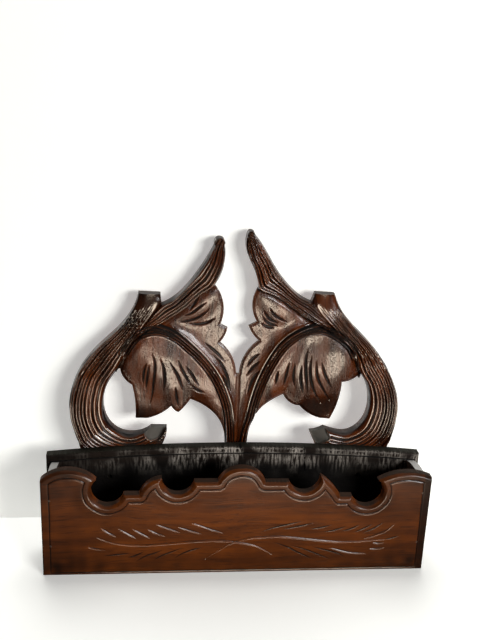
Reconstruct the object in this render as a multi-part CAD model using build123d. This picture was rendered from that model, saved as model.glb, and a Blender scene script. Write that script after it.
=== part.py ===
from build123d import *
from math import sqrt
import os

# Carved wooden wall letter holder: a shallow trough of thin boards with two carved
# openwork brackets that stand behind it and meet on the middle line.
# Millimetres. +X is right, -Y is the front, +Z is up; the origin is at the middle of the base.

# Overall sizes
WIDTH = 320.0            # front board and back board, end to end
BOX_DEPTH = 48.0         # face of the front board to the rear face of the back board
BRACKET_T = 12.0         # plank that each bracket is sawn and carved from

# Board thicknesses and their seats
FRONT_T = 8.0
BACK_T = 9.0
SIDE_T = 6.0
BOTTOM_T = 6.0
SIDE_INSET = 5.0         # the side boards stand in from the ends of the front and back boards

# Back board
BACK_END_Z = 90.0        # height at its two ends
BACK_RISE = 7.5          # how much its top edge arches up to the middle
BACK_BEVEL = 1.5         # bevel round its front edges

# Side boards
SIDE_FRONT_Z = 89.0      # top edge where it meets the front board
SIDE_BACK_Z = 84.0       # top edge where it meets the back board
SIDE_CROWN = 1.6         # how far the top edge swells above a straight line

# Front board
FRONT_END_Z = 88.0       # height at its two ends
NOTCH_R = 13.3           # the four round notches
CENTRE_X = 1.8           # the middle lobe was cut a little right of centre
CENTRE_HALF = 19.4
CENTRE_TOP_Z = 97.7
LOBE_TIP_RISE = 1.5      # the pointed tip beside an inner notch, above the notch's centre
BEVEL_W = 2.6            # bevel along the scalloped edge, measured across the face
BEVEL_D = 2.4            # and into the thickness
EASED = 0.8              # the straight ends and the base are only eased

# Hand-cut places along the scalloped edge, as distances from the middle of the board
SCALLOPS = {
    -1: dict(shoulder_rise=9.2, tip_rise=9.8, outer_x=107.0, outer_z=77.4, outer_step_z=74.2, lobe_x=81.3,
             lobe_bulge_x=73.2, lobe_bulge_z=85.0, inner_x=50.2, inner_z=87.2, inner_step_z=85.2),
    +1: dict(shoulder_rise=5.8, tip_rise=10.6, outer_x=107.0, outer_z=74.6, outer_step_z=71.0, lobe_x=84.0,
             lobe_bulge_x=76.4, lobe_bulge_z=81.2, inner_x=53.6, inner_z=88.0, inner_step_z=84.4),
}

# Brackets
SEAM_X = 0.6             # the plane where the two brackets meet
STRIP_Z0 = 46.0          # straight strip at the foot of each bracket, behind the back board
STRIP_Z1 = 84.0
STRIP_END = 128.0        # outer end of the strip
STRIP_LAP = 4.0          # how far the stem and the scroll run down into the strip
FOOT_Z = STRIP_Z1 - STRIP_LAP
BLADE_T = 7.0            # leaves, thinner than the branch
CROWN_D = 3.0            # the branch's long front edges are cut down by this much
CROWN_W = 4.0            # over this width
CRISP_LENGTH = 20.0      # shorter edges, at sawn ends and points, stay crisp
MIDRIB_HALF = 3.4        # half the width of the midrib
MIDRIB_STAND = 3.4       # how far it stands in front of the leaves
MIDRIB_SUNK = 1.0        # how far its root runs into them
MIDRIB_SHOULDER_Y = 0.75 # its rounding: the shoulder's height as a share of MIDRIB_STAND
MIDRIB_SHOULDER_X = 0.7  # and its place as a share of MIDRIB_HALF

# Fasteners
SCREW_R = 1.75
SCREW_HEAD_R = 3.5
SCREW_LENGTH = 18.0
SCREW_X = (30.0, 118.0)  # along the foot strip of each bracket, from the middle
SCREW_Z = 56.0
BRAD_R = 0.8             # the brads have no wider head
BRAD_LENGTH = 20.0
BRAD_OUT = 1.0           # the brads in a side board's ends sit this far outside its middle
FRONT_BRADS = [(-1, 70.0), (-1, 28.0), (+1, 74.0), (+1, 27.0)]
BACK_BRADS = [(-1, 68.0), (-1, 26.0), (+1, 68.0), (+1, 26.0)]
BOTTOM_BRADS_ALONG = (-100.0, 0.0, 100.0)
BOTTOM_BRADS_ACROSS = (-9.0, 9.0)
PIN_CLEARANCE = 0.05     # between a screw or brad and its hole
WALL_HOLE_R = 2.25       # plain holes for two round-headed wall screws
WALL_HOLE_X = 107.0      # in line with the outer notches, so that a screwdriver passes
WALL_HOLE_Z = 70.0
OVERRUN = 1.0            # the solid that cuts a through hole runs past both faces by this much

# Places worked out from the sizes above
HALF_W = WIDTH / 2
Y_FRONT = -(BOX_DEPTH + BRACKET_T) / 2
Y_BOARD_REAR = Y_FRONT + BOX_DEPTH
Y_WALL = Y_BOARD_REAR + BRACKET_T
Y_TROUGH_0 = Y_FRONT + FRONT_T
Y_TROUGH_1 = Y_BOARD_REAR - BACK_T
SIDE_X = HALF_W - SIDE_INSET - SIDE_T / 2


def plank(outline, y_rear, thickness):
    """A board whose outline is drawn in X and Z, with its rear face at y_rear."""
    return Plane.XZ.offset(-y_rear) * extrude(make_face(outline), thickness)


def stroke(*points):
    """One smooth stretch of an outline: a straight line, an arc or a spline."""
    if len(points) == 2:
        return Line(*points)
    if len(points) == 3:
        return ThreePointArc(*points)
    return Spline(*points)


def joined(*strokes):
    """An outline of strokes that follow each other, each given by its points."""
    edges = Curve()
    for points in strokes:
        edges += stroke(*points)
    return edges


def wood_screw(gap=0.0):
    """A countersunk wood screw along +Z, its head at 0; with a gap it is the screw's hole."""
    head_r, shank_r, tip = SCREW_HEAD_R + gap, SCREW_R + gap, SCREW_LENGTH + gap
    profile = Polyline((0, 0), (head_r, 0), (shank_r, head_r - shank_r), (shank_r, tip), (0, tip), close=True)
    return revolve(Plane.XZ * make_face(profile), Axis.Z)


def brad(gap=0.0):
    """A headless nail along +Z, its top at 0; with a gap it is the nail's hole."""
    return extrude(Circle(BRAD_R + gap), BRAD_LENGTH + gap)


def driven(fastener, seats):
    """Copies of a fastener, each driven in from a seat of (point, direction)."""
    return [Plane(origin=point, z_dir=direction) * fastener for point, direction in seats]


def drilled(board, fastener_hole, seats):
    """A board with the hole of a fastener cut at each seat."""
    for hole in driven(fastener_hole, seats):
        board = board - hole
    return board


def above_base(edge):
    """True for each edge of a board's face except the one along the bottom."""
    return edge.center().Z > BOTTOM_T / 2


def arch(x0, z0, x1, z1, rise):
    """A shallow arc from (x0, z0) to (x1, z1) that rises above its middle."""
    return ThreePointArc((x0, z0), ((x0 + x1) / 2, (z0 + z1) / 2 + rise), (x1, z1))


def reach(height):
    """How far a notch's round edge stands from its centre, at a height above or below it."""
    return sqrt(NOTCH_R ** 2 - height ** 2)


def scalloped_half(side):
    """The top edge of the front board from its end to the middle lobe, on one side."""
    cut = SCALLOPS[side]
    outer_x, outer_z, outer_step = cut["outer_x"], cut["outer_z"], cut["outer_step_z"]
    inner_x, inner_z, inner_step = cut["inner_x"], cut["inner_z"], cut["inner_step_z"]

    def at(x, z):
        return (side * x, z)

    end = at(HALF_W, FRONT_END_Z)
    tip = at(outer_x + reach(cut["tip_rise"]), outer_z + cut["tip_rise"])
    outer_near = at(outer_x - reach(outer_z - outer_step), outer_step)
    lobe_foot = at(cut["lobe_x"], outer_step)
    lobe_bulge = at(cut["lobe_bulge_x"], cut["lobe_bulge_z"])
    lobe_tip = at(inner_x + reach(LOBE_TIP_RISE), inner_z + LOBE_TIP_RISE)
    inner_near = at(inner_x - reach(inner_z - inner_step), inner_step)
    middle_foot = (CENTRE_X + side * CENTRE_HALF, inner_step)

    edges = Curve() + arch(*end, *tip, cut["shoulder_rise"])
    edges += ThreePointArc(tip, at(outer_x, outer_z - NOTCH_R), outer_near)
    edges += Line(outer_near, lobe_foot)
    edges += ThreePointArc(lobe_foot, lobe_bulge, lobe_tip)
    edges += ThreePointArc(lobe_tip, at(inner_x, inner_z - NOTCH_R), inner_near)
    edges += Line(inner_near, middle_foot)
    return edges, middle_foot


def make_front_board():
    left, left_foot = scalloped_half(-1)
    right, right_foot = scalloped_half(+1)
    outline = left + right
    outline += ThreePointArc(left_foot, (CENTRE_X, CENTRE_TOP_Z), right_foot)
    outline += Polyline((-HALF_W, FRONT_END_Z), (-HALF_W, 0), (HALF_W, 0), (HALF_W, FRONT_END_Z))
    board = plank(outline, Y_TROUGH_0, FRONT_T)
    face = board.faces().sort_by(Axis.Y)[0]
    # The pointed tips spoil one chamfer round the whole outline, so each edge is cut on its own.
    for edge in face.edges():
        if edge.length < FRONT_END_Z - EASED:
            board = board & chamfer(edge, BEVEL_D, BEVEL_W, reference=face)
        else:
            board = board & chamfer(edge, EASED)
    return board


def make_back_board():
    outline = Polyline((-HALF_W, BACK_END_Z), (-HALF_W, 0), (HALF_W, 0), (HALF_W, BACK_END_Z))
    outline += arch(-HALF_W, BACK_END_Z, HALF_W, BACK_END_Z, BACK_RISE)
    board = plank(outline, Y_BOARD_REAR, BACK_T)
    face = board.faces().sort_by(Axis.Y)[0]
    return chamfer(face.edges().filter_by(above_base), BACK_BEVEL)


def make_side(side):
    """A short board between the front and back boards; its top edge falls towards the back."""
    y0, y1 = Y_TROUGH_0, Y_TROUGH_1
    outline = Polyline((y0, SIDE_FRONT_Z), (y0, 0), (y1, 0), (y1, SIDE_BACK_Z))
    outline += arch(y0, SIDE_FRONT_Z, y1, SIDE_BACK_Z, SIDE_CROWN)
    board = extrude(make_face(outline), SIDE_T / 2, both=True)
    return Plane.YZ.offset(side * SIDE_X) * board


def make_bottom_board():
    inner = 2 * SIDE_X - SIDE_T
    depth = Y_TROUGH_1 - Y_TROUGH_0
    return Pos(0, (Y_TROUGH_0 + Y_TROUGH_1) / 2, BOTTOM_T / 2) * Box(inner, depth, BOTTOM_T)


# Outlines of the carved brackets, as strokes of (distance from the middle, height).
# Each stroke is one smooth curve; the corners between strokes are the carved points and notches.
LEFT_BRANCH = [
    [(126.5, FOOT_Z), (136.5, 102), (141, 125), (135.5, 155), (119, 180), (98, 201), (87, 218), (83.7, 229)],
    [(83.7, 229), (65.8, 228.4)],
    [(65.8, 228.4), (65.4, 224), (64.8, 219.5)],
    [(64.8, 219.5), (56, 224.3), (46.5, 233.3), (38, 244.3), (30.3, 256.3), (23.2, 269.6)],
    [(23.2, 269.6), (18.2, 276), (14.8, 270)],
    [(14.8, 270), (14.6, 256), (22, 236)],
]
LEFT_LEAF_TIPS = [
    [(22, 236), (15.5, 225), (16, 201.5)],
    [(16, 201.5), (10, 198.5)],
    [(10, 198.5), (12, 191.5), (16, 185.5)],
    [(16, 185.5), (6, 174), (1.2, 157)],
]
LEFT_LEAF_FOOT = [
    [(9, FOOT_Z), (9.2, 96), (12.6, 112), (18.4, 121), (27.2, 128.7), (39.6, 135.7)],
    [(39.6, 135.7), (44.4, 129), (49.6, 123.2)],
    [(49.6, 123.2), (53.4, 125.5), (55.8, 129.2)],
    [(55.8, 129.2), (66, 120.5), (76, 116.4)],
    [(76, 116.4), (86, 116.6)],
    [(86, 116.6), (86.3, 133), (88.8, 148)],
    [(88.8, 148), (95, 153.5), (98.8, 162.4)],
]
LEFT_SCROLL = [
    [(98.8, 162.4), (102.5, 160.3)],
    [(102.5, 160.3), (110, 147.5), (112.8, 131), (108.5, 114.5), (97.4, 104.8), (87, 103.4),
     (78, 105.6), (72.8, 109.3)],
    [(72.8, 109.3), (59.4, 109)],
    [(59.4, 109), (60.6, 102), (64.5, 92), (66.5, FOOT_Z)],
]
LEFT_BRANCH_INNER = [(98.8, 162.4), (90, 181), (78, 196), (62, 205), (46, 216), (33, 228), (22, 236)]
LEFT_MIDRIB = [(89, 187), (78, 194.5), (66, 196), (55, 191.5), (41, 180.5), (25, 163), (12, 138),
               (6, 110), (5, 90)]

RIGHT_BRANCH = [
    [(127.5, FOOT_Z), (138, 105), (140.5, 130), (132, 157), (115, 182.5), (98, 200), (84, 216.5),
     (77.8, 229.8)],
    [(77.8, 229.8), (61, 230.6)],
    [(61, 230.6), (59.8, 226.5), (58.3, 222.7)],
    [(58.3, 222.7), (48, 228.3), (38, 237.6), (27.3, 251.6), (16.7, 269), (9, 278.6)],
    [(9, 278.6), (5.4, 282), (2.9, 278.6)],
    [(2.9, 278.6), (4.1, 262), (9.6, 250), (14, 233.6)],
]
RIGHT_LEAF_TIPS = [
    [(14, 233.6), (10, 218), (14.4, 203.8)],
    [(14.4, 203.8), (7.5, 200.3)],
    [(7.5, 200.3), (11, 193.5), (16.8, 187.1)],
    [(16.8, 187.1), (5.5, 174), (1.2, 157)],
]
RIGHT_LEAF_FOOT = [
    [(9, FOOT_Z), (10.2, 102), (14.4, 117), (20.9, 126.4), (29, 133), (39.7, 139)],
    [(39.7, 139), (46.5, 131), (54.6, 128.5)],
    [(54.6, 128.5), (63, 120.5), (73.5, 115.6)],
    [(73.5, 115.6), (82.2, 115)],
    [(82.2, 115), (87.6, 131.6), (89.3, 152)],
    [(89.3, 152), (98, 153.6), (105, 159.3)],
]
RIGHT_SCROLL = [
    [(105, 159.3), (111.6, 148), (114.6, 131), (109.5, 113), (97.6, 104.4), (86, 105.2), (77, 108.3)],
    [(77, 108.3), (71, 105.6), (64.6, 104.4)],
    [(64.6, 104.4), (67.6, 98), (70.5, 91), (71, FOOT_Z)],
]
RIGHT_BRANCH_INNER = [(105, 159.3), (95, 180), (82, 193), (66, 203), (50, 213), (30, 227), (14, 233.6)]
RIGHT_MIDRIB = [(93, 186), (80, 195), (67, 197.7), (54, 195), (41, 186.5), (26.8, 165), (17, 140),
                (9, 112), (6, 90)]

LEFT_CARVING = dict(branch=LEFT_BRANCH, leaf_tips=LEFT_LEAF_TIPS, leaf_foot=LEFT_LEAF_FOOT,
                    scroll=LEFT_SCROLL, branch_inner=LEFT_BRANCH_INNER, midrib=LEFT_MIDRIB)
RIGHT_CARVING = dict(branch=RIGHT_BRANCH, leaf_tips=RIGHT_LEAF_TIPS, leaf_foot=RIGHT_LEAF_FOOT,
                     scroll=RIGHT_SCROLL, branch_inner=RIGHT_BRANCH_INNER, midrib=RIGHT_MIDRIB)


def mirrored(side, points):
    """Points given as distance from the middle and height, turned into X and Z."""
    return [(side * x, z) for x, z in points]


def crowned(block):
    """The branch with its long front edges cut away; sawn ends and points stay crisp."""
    face = block.faces().sort_by(Axis.Y)[0]
    crown = block
    for edge in face.edges():
        if edge.length > CRISP_LENGTH and edge.center().Z > BACK_END_Z:
            crown = crown & chamfer(edge, CROWN_D, CROWN_W, reference=face)
    return crown


def make_midrib(points):
    """The crowned rib that arches out of the branch and runs down into the stem."""
    path = Spline(*[(x, Y_WALL - BLADE_T, z) for x, z in points])
    # Section points are (height above the leaves, distance across the rib).
    shoulder_y = MIDRIB_STAND * MIDRIB_SHOULDER_Y
    shoulder_x = MIDRIB_HALF * MIDRIB_SHOULDER_X
    section = Polyline((-MIDRIB_SUNK, -MIDRIB_HALF), (0, -MIDRIB_HALF), (shoulder_y, -shoulder_x),
                       (MIDRIB_STAND, 0), (shoulder_y, shoulder_x), (0, MIDRIB_HALF),
                       (-MIDRIB_SUNK, MIDRIB_HALF), close=True)
    start = Plane(origin=path @ 0, x_dir=(0, -1, 0), z_dir=path % 0)
    return sweep(start * make_face(section), path=path)


def make_bracket(side, carving):
    """A carved openwork bracket on a straight strip that lies behind the back board."""
    branch_rim, leaf_tips, leaf_foot, scroll = (
        [mirrored(side, points) for points in carving[name]]
        for name in ("branch", "leaf_tips", "leaf_foot", "scroll"))
    branch_inner = mirrored(side, carving["branch_inner"])
    seam_z = leaf_tips[-1][-1][1]

    # The branch: stub, twig and scroll, down to the scroll's foot. It has the plank's full thickness.
    outline = joined(*branch_rim, branch_inner, *scroll)
    outline += Line(scroll[-1][-1], branch_rim[0][0])
    branch = crowned(plank(outline, Y_WALL, BRACKET_T))

    # The leaves and the stem are thinner, and lie between the branch and the seam.
    outline = joined(*leaf_tips, *leaf_foot, branch_inner)
    outline += Polyline(leaf_tips[-1][-1], (SEAM_X, seam_z), (SEAM_X, FOOT_Z), leaf_foot[0][0])
    leaves = plank(outline, Y_WALL, BLADE_T)

    strip_mid = Pos((SEAM_X + side * STRIP_END) / 2, Y_WALL - BRACKET_T / 2, (STRIP_Z0 + STRIP_Z1) / 2)
    strip = strip_mid * Box(abs(side * STRIP_END - SEAM_X), BRACKET_T, STRIP_Z1 - STRIP_Z0)
    return leaves + branch + strip + make_midrib(mirrored(side, carving["midrib"]))


# Seats of the fasteners: where each head lies and the way its point goes
FRONTWARD = (0, -1, 0)
BACKWARD = (0, 1, 0)
brad_x = SIDE_X + BRAD_OUT
side_outer = SIDE_X + SIDE_T / 2
bottom_mid = (Y_TROUGH_0 + Y_TROUGH_1) / 2
front_seats = [((side * brad_x, Y_FRONT, z), BACKWARD) for side, z in FRONT_BRADS]
back_seats = [((side * brad_x, Y_BOARD_REAR, z), FRONTWARD) for side, z in BACK_BRADS]
back_seats += [((x, Y_BOARD_REAR, BOTTOM_T / 2), FRONTWARD) for x in BOTTOM_BRADS_ALONG]
side_seats = {side: [((side * side_outer, bottom_mid + y, BOTTOM_T / 2), (-side, 0, 0))
                     for y in BOTTOM_BRADS_ACROSS] for side in (-1, +1)}
screw_seats = {side: [((side * x, Y_WALL, SCREW_Z), FRONTWARD) for x in SCREW_X] for side in (-1, +1)}


def wall_holes():
    """The two plain holes through which the holder is screwed to a wall."""
    depth = BACK_T + BRACKET_T
    hole = Rot(90, 0, 0) * Cylinder(WALL_HOLE_R, depth + 2 * OVERRUN)
    return [Pos(side * WALL_HOLE_X, Y_WALL - depth / 2, WALL_HOLE_Z) * hole for side in (-1, +1)]


front_board = drilled(make_front_board(), brad(PIN_CLEARANCE), front_seats)
bottom_board = drilled(make_bottom_board(), brad(PIN_CLEARANCE), back_seats + side_seats[-1] + side_seats[1])
back_board = drilled(make_back_board(), brad(PIN_CLEARANCE), back_seats)
back_board = drilled(back_board, wood_screw(PIN_CLEARANCE), screw_seats[-1] + screw_seats[1])
sides = {side: drilled(make_side(side), brad(PIN_CLEARANCE), front_seats + back_seats + side_seats[side])
         for side in (-1, +1)}
brackets = {side: drilled(make_bracket(side, carving), wood_screw(PIN_CLEARANCE), screw_seats[side])
            for side, carving in ((-1, LEFT_CARVING), (+1, RIGHT_CARVING))}
for hole in wall_holes():
    back_board = back_board - hole
    brackets = {side: bracket - hole for side, bracket in brackets.items()}

parts = {
    "front_board": front_board,
    "back_board": back_board,
    "left_side": sides[-1],
    "right_side": sides[+1],
    "bottom_board": bottom_board,
    "left_bracket": brackets[-1],
    "right_bracket": brackets[+1],
    "front_brads": Compound(driven(brad(), front_seats)),
    "back_brads": Compound(driven(brad(), back_seats)),
    "bottom_brads": Compound(driven(brad(), side_seats[-1] + side_seats[+1])),
    "bracket_screws": Compound(driven(wood_screw(), screw_seats[-1] + screw_seats[+1])),
}

os.makedirs("parts", exist_ok=True)
for name, shape in parts.items():
    export_step(shape, f"parts/{name}.step")
    print(name, len(shape.solids()), round(shape.volume))
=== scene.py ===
# %% [markdown]
# A carved wooden letter holder for the wall: a shallow trough of thin boards with a
# scalloped front, and two openwork brackets of leaves and branches that stand behind it.
# The measured parts come as a fixed frame. What Blender adds is the carver's work, the
# flutes, veins and incised sprays, and the old varnish over dark hardwood. The four
# carved boards get new, finely divided surfaces on exactly the frame's outlines.

# %% Load the measured parts
import math
import bmesh
import bpy
import numpy as np
from mathutils import Matrix, Vector, kdtree, noise
from mathutils.geometry import delaunay_2d_cdt


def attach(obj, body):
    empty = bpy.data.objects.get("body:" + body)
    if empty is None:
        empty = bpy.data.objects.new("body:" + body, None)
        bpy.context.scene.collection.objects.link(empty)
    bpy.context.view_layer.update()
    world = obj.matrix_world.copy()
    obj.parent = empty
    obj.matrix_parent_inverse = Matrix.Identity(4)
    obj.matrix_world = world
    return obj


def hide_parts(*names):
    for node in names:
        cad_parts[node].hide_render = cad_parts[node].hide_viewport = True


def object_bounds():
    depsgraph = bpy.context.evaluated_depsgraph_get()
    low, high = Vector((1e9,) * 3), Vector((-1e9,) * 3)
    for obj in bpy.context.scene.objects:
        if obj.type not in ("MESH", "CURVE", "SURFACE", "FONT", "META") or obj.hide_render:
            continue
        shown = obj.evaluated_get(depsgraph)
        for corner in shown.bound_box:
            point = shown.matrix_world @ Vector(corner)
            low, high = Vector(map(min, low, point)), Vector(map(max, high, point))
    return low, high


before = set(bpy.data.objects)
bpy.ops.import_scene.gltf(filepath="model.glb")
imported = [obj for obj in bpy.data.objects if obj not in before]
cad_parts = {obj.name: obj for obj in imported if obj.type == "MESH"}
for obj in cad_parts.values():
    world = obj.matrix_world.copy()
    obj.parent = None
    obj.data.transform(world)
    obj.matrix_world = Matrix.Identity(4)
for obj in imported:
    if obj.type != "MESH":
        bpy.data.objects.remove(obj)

MM = 0.001
frame_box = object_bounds()
print("frame", [tuple(round(v / MM, 1) for v in corner) for corner in frame_box])

# %% [markdown]
# The camera stands where the photographer stood: a little left of the middle, about
# 19 degrees above the holder. A camera can be aimed at an empty with a constraint, but a
# fitted view also has a small roll, so here its three axes are written down and made
# into a rotation. The sensor's 36 mm lie along the long side of the picture.

# %% Camera
CAMERA_PLACE = Vector((-0.0655, -0.6386, 0.4299))
CAMERA_AHEAD = Vector((0.09302, 0.94344, -0.31822))
CAMERA_UP = Vector((-0.00937, 0.32042, 0.94723))
PICTURE_LONG_SIDE = 640  # pixels
FOCAL_PIXELS = 850
SENSOR_WIDTH = 36        # millimetres
NEAREST_SEEN = 0.01      # metres
FARTHEST_SEEN = 20


def stand_camera():
    data = bpy.data.cameras.new("camera")
    data.sensor_width = SENSOR_WIDTH
    data.lens = SENSOR_WIDTH * FOCAL_PIXELS / PICTURE_LONG_SIDE
    data.clip_start = NEAREST_SEEN
    data.clip_end = FARTHEST_SEEN
    camera = bpy.data.objects.new("camera", data)
    bpy.context.scene.collection.objects.link(camera)
    right = CAMERA_AHEAD.cross(CAMERA_UP).normalized()
    up = right.cross(CAMERA_AHEAD).normalized()
    turn = Matrix((right, up, -CAMERA_AHEAD.normalized())).transposed()
    camera.matrix_world = Matrix.Translation(CAMERA_PLACE) @ turn.to_4x4()
    bpy.context.scene.camera = camera
    return camera


camera = stand_camera()
print("camera lens", round(camera.data.lens, 2), "mm")

# %% [markdown]
# Shader nodes are many small boxes, so two helpers keep the materials short to read:
# one adds a node and fills its sockets by name, where a value may also be a link from
# another node, and one starts a material with its Principled BSDF ready.

# %% Node helpers
def add_node(tree, kind, options=None, **sockets):
    """A new node. _0 is its first socket; each gets a value or the output that feeds it."""
    node = tree.nodes.new(kind)
    for name, value in (options or {}).items():
        setattr(node, name, value)
    for name, value in sockets.items():
        socket = node.inputs[int(name[1:]) if name[1:].isdigit() else name.replace("_", " ")]
        if isinstance(value, bpy.types.NodeSocket):
            tree.links.new(value, socket)
        else:
            socket.default_value = value
    return node


def new_material(name):
    material = bpy.data.materials.new(name)
    material.use_nodes = True
    tree = material.node_tree
    return material, tree, tree.nodes["Principled BSDF"]


print("helpers", [helper.__name__ for helper in (add_node, new_material)])

# %% [markdown]
# The holder stands on a white table before a white wall. White comes from the colour of
# both surfaces, and where the camera or a reflection sees them a little glow is added, so
# that the ground is white while the holder's shadow stays. More light would do the same,
# but it would also bleach the wood. The wall leans a little towards the holder, as the
# shadows get narrower towards the top. It is clear from behind, so the back can be seen.

# %% Table and wall
WALL_FOOT_Y = 0.060
WALL_LEAN = 0.085        # how far the wall comes forward for each metre of height
WALL_HEIGHT = 1.8
STAGE_HALF = 1.6
TABLE_FRONT_Y = -0.25    # the room beyond the table is dim, so the varnish stays dark
FLOOR_GLOW = 0.22        # shown to the camera and to reflections only
WALL_GLOW = 0.36
STAGE_WHITE = (0.88, 0.88, 0.83, 1)
STAGE_ROUGHNESS = 0.9


def stage_plane(name, corners, material):
    mesh = bpy.data.meshes.new(name)
    mesh.from_pydata(corners, [], [(0, 1, 2, 3)])
    mesh.materials.append(material)
    plane = bpy.data.objects.new(name, mesh)
    bpy.context.scene.collection.objects.link(plane)
    return plane


def stage_material(name, camera_glow):
    material, tree, shader = new_material(name)
    shader.inputs["Base Color"].default_value = STAGE_WHITE
    shader.inputs["Roughness"].default_value = STAGE_ROUGHNESS
    shader.inputs["Specular IOR Level"].default_value = 0.0
    shader.inputs["Emission Color"].default_value = (1, 1, 1, 1)
    path = add_node(tree, "ShaderNodeLightPath")
    seen = add_node(tree, "ShaderNodeMath", {"operation": "MAXIMUM"},
                    _0=path.outputs["Is Camera Ray"], _1=path.outputs["Is Glossy Ray"])
    glow = add_node(tree, "ShaderNodeMath", {"operation": "MULTIPLY"},
                    _0=seen.outputs[0], _1=camera_glow)
    tree.links.new(glow.outputs[0], shader.inputs["Emission Strength"])
    clear = add_node(tree, "ShaderNodeBsdfTransparent")
    face = add_node(tree, "ShaderNodeNewGeometry")
    mixed = add_node(tree, "ShaderNodeMixShader", _0=face.outputs["Backfacing"],
                     _1=shader.outputs[0], _2=clear.outputs[0])
    tree.links.new(mixed.outputs[0], tree.nodes["Material Output"].inputs["Surface"])
    return material


def build_stage():
    side = STAGE_HALF
    wall_foot = [(-side, WALL_FOOT_Y, 0), (side, WALL_FOOT_Y, 0)]
    table_front = [(-side, TABLE_FRONT_Y, 0), (side, TABLE_FRONT_Y, 0)]
    top_y = WALL_FOOT_Y - WALL_LEAN * WALL_HEIGHT
    wall_top = [(side, top_y, WALL_HEIGHT), (-side, top_y, WALL_HEIGHT)]
    floor = stage_plane("floor", table_front + wall_foot[::-1], stage_material("white_table", FLOOR_GLOW))
    wall = stage_plane("wall", wall_foot + wall_top, stage_material("white_wall", WALL_GLOW))
    floor.visible_glossy = False
    wall.visible_diffuse = False
    wall.visible_shadow = False
    return floor, wall


floor, wall = build_stage()
print("stage", floor.name, "and", wall.name, "that leans", WALL_LEAN, "per metre of height")

# %% [markdown]
# A soft window at the right of the camera gives the crisp highlights, and a skylight above
# and behind gives the shine on faces that look up. A low warm card in front of the table
# stands for what the varnish mirrors there: only gloss sees it, and it makes the beige
# shine of the flat leaves. One large lamp could light all this, but it would wash out the
# deep shadows in the carving, so the lamps are few and the room itself stays dim.

# %% Lights
CARD_COLOUR = (1.0, 0.84, 0.66)
ROOM_LEVEL = 0.03


def area_light(name, place, target, size, power, colour=(1, 1, 1)):
    data = bpy.data.lights.new(name, "AREA")
    data.shape = "RECTANGLE"
    data.size, data.size_y = size
    data.energy = power
    data.color = colour
    light = bpy.data.objects.new(name, data)
    light.location = place
    light.rotation_euler = (Vector(target) - Vector(place)).to_track_quat("-Z", "Y").to_euler()
    bpy.context.scene.collection.objects.link(light)
    return light


def light_room(level):
    """A dim grey room; for the camera and through clear faces the background is white."""
    world = bpy.data.worlds.new("room")
    bpy.context.scene.world = world
    world.use_nodes = True
    tree = world.node_tree
    path = add_node(tree, "ShaderNodeLightPath")
    seen = add_node(tree, "ShaderNodeMath", {"operation": "MAXIMUM"},
                    _0=path.outputs["Is Camera Ray"], _1=path.outputs["Is Transmission Ray"])
    strength = add_node(tree, "ShaderNodeMix", {"data_type": "FLOAT"},
                        _0=seen.outputs[0], _2=level, _3=1.0)
    background = tree.nodes["Background"]
    background.inputs["Color"].default_value = (1, 1, 1, 1)
    tree.links.new(strength.outputs[0], background.inputs["Strength"])


window = area_light("window", place=(0.855, -1.316, 0.62), target=(0, 0, 0.12), size=(0.7, 0.4), power=25)
skylight = area_light("skylight", place=(0, 0.5, 1.0), target=(0, -0.1, 0), size=(1.0, 1.0), power=15)
card = area_light("reflector card", place=(0.10, -0.80, -0.16), target=(0, 0, 0.17), size=(0.5, 0.20),
                  power=7, colour=CARD_COLOUR)
card.visible_diffuse = False
light_room(ROOM_LEVEL)
bpy.context.scene.view_settings.view_transform = "Standard"
print("lights", {light.name: light.data.energy for light in (window, skylight, card)})

# %% [markdown]
# All the wood is one kind of dark hardwood under old varnish, in different states. What
# the finishes share is built once, as node groups that give values only. A group made by
# hand in the editor would serve as well, but a written one can be read and built again. A
# few short helpers for noise, sums, products and ranges keep the groups easy to follow.

# %% Helpers for groups and values
def new_group(name, inputs, outputs):
    """A node group with named value sockets; a default of None makes a vector socket."""
    tree = bpy.data.node_groups.new(name, "ShaderNodeTree")
    for socket_name, default in inputs.items():
        kind = "NodeSocketVector" if default is None else "NodeSocketFloat"
        socket = tree.interface.new_socket(socket_name, in_out="INPUT", socket_type=kind)
        if default is not None:
            socket.default_value = default
    for socket_name in outputs:
        tree.interface.new_socket(socket_name, in_out="OUTPUT", socket_type="NodeSocketFloat")
    given = tree.nodes.new("NodeGroupInput").outputs
    put = tree.nodes.new("NodeGroupOutput").inputs
    return tree, given, put


def scaled(tree, place, x, y, z):
    made = add_node(tree, "ShaderNodeVectorMath", {"operation": "MULTIPLY"}, _0=place, _1=(x, y, z))
    return made.outputs[0]


def noise_of(tree, place, scale, detail=2.0, roughness=0.5):
    made = add_node(tree, "ShaderNodeTexNoise",
                    Vector=place, Scale=scale, Detail=detail, Roughness=roughness)
    return made.outputs["Fac"]


def between(tree, value, low, high, to_low=0.0, to_high=1.0):
    """Maps the range low..high of a value to another range, without running past its ends."""
    made = add_node(tree, "ShaderNodeMapRange", {"interpolation_type": "SMOOTHSTEP", "clamp": True},
                    Value=value, From_Min=low, From_Max=high, To_Min=to_low, To_Max=to_high)
    return made.outputs["Result"]


def worked(tree, operation, a, b):
    return add_node(tree, "ShaderNodeMath", {"operation": operation}, _0=a, _1=b).outputs[0]


def product(tree, a, b):
    return worked(tree, "MULTIPLY", a, b)


print("helpers", [helper.__name__ for helper in (new_group, scaled, noise_of, between, worked, product)])

# %% [markdown]
# The grain of a quiet hardwood is noise stretched along the board: a slow change of colour,
# called figure, and short dark pores. A wave texture would give rings as on pine. A second,
# large noise pushes the place sideways first, so that the lines drift as in a grown trunk.

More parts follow.
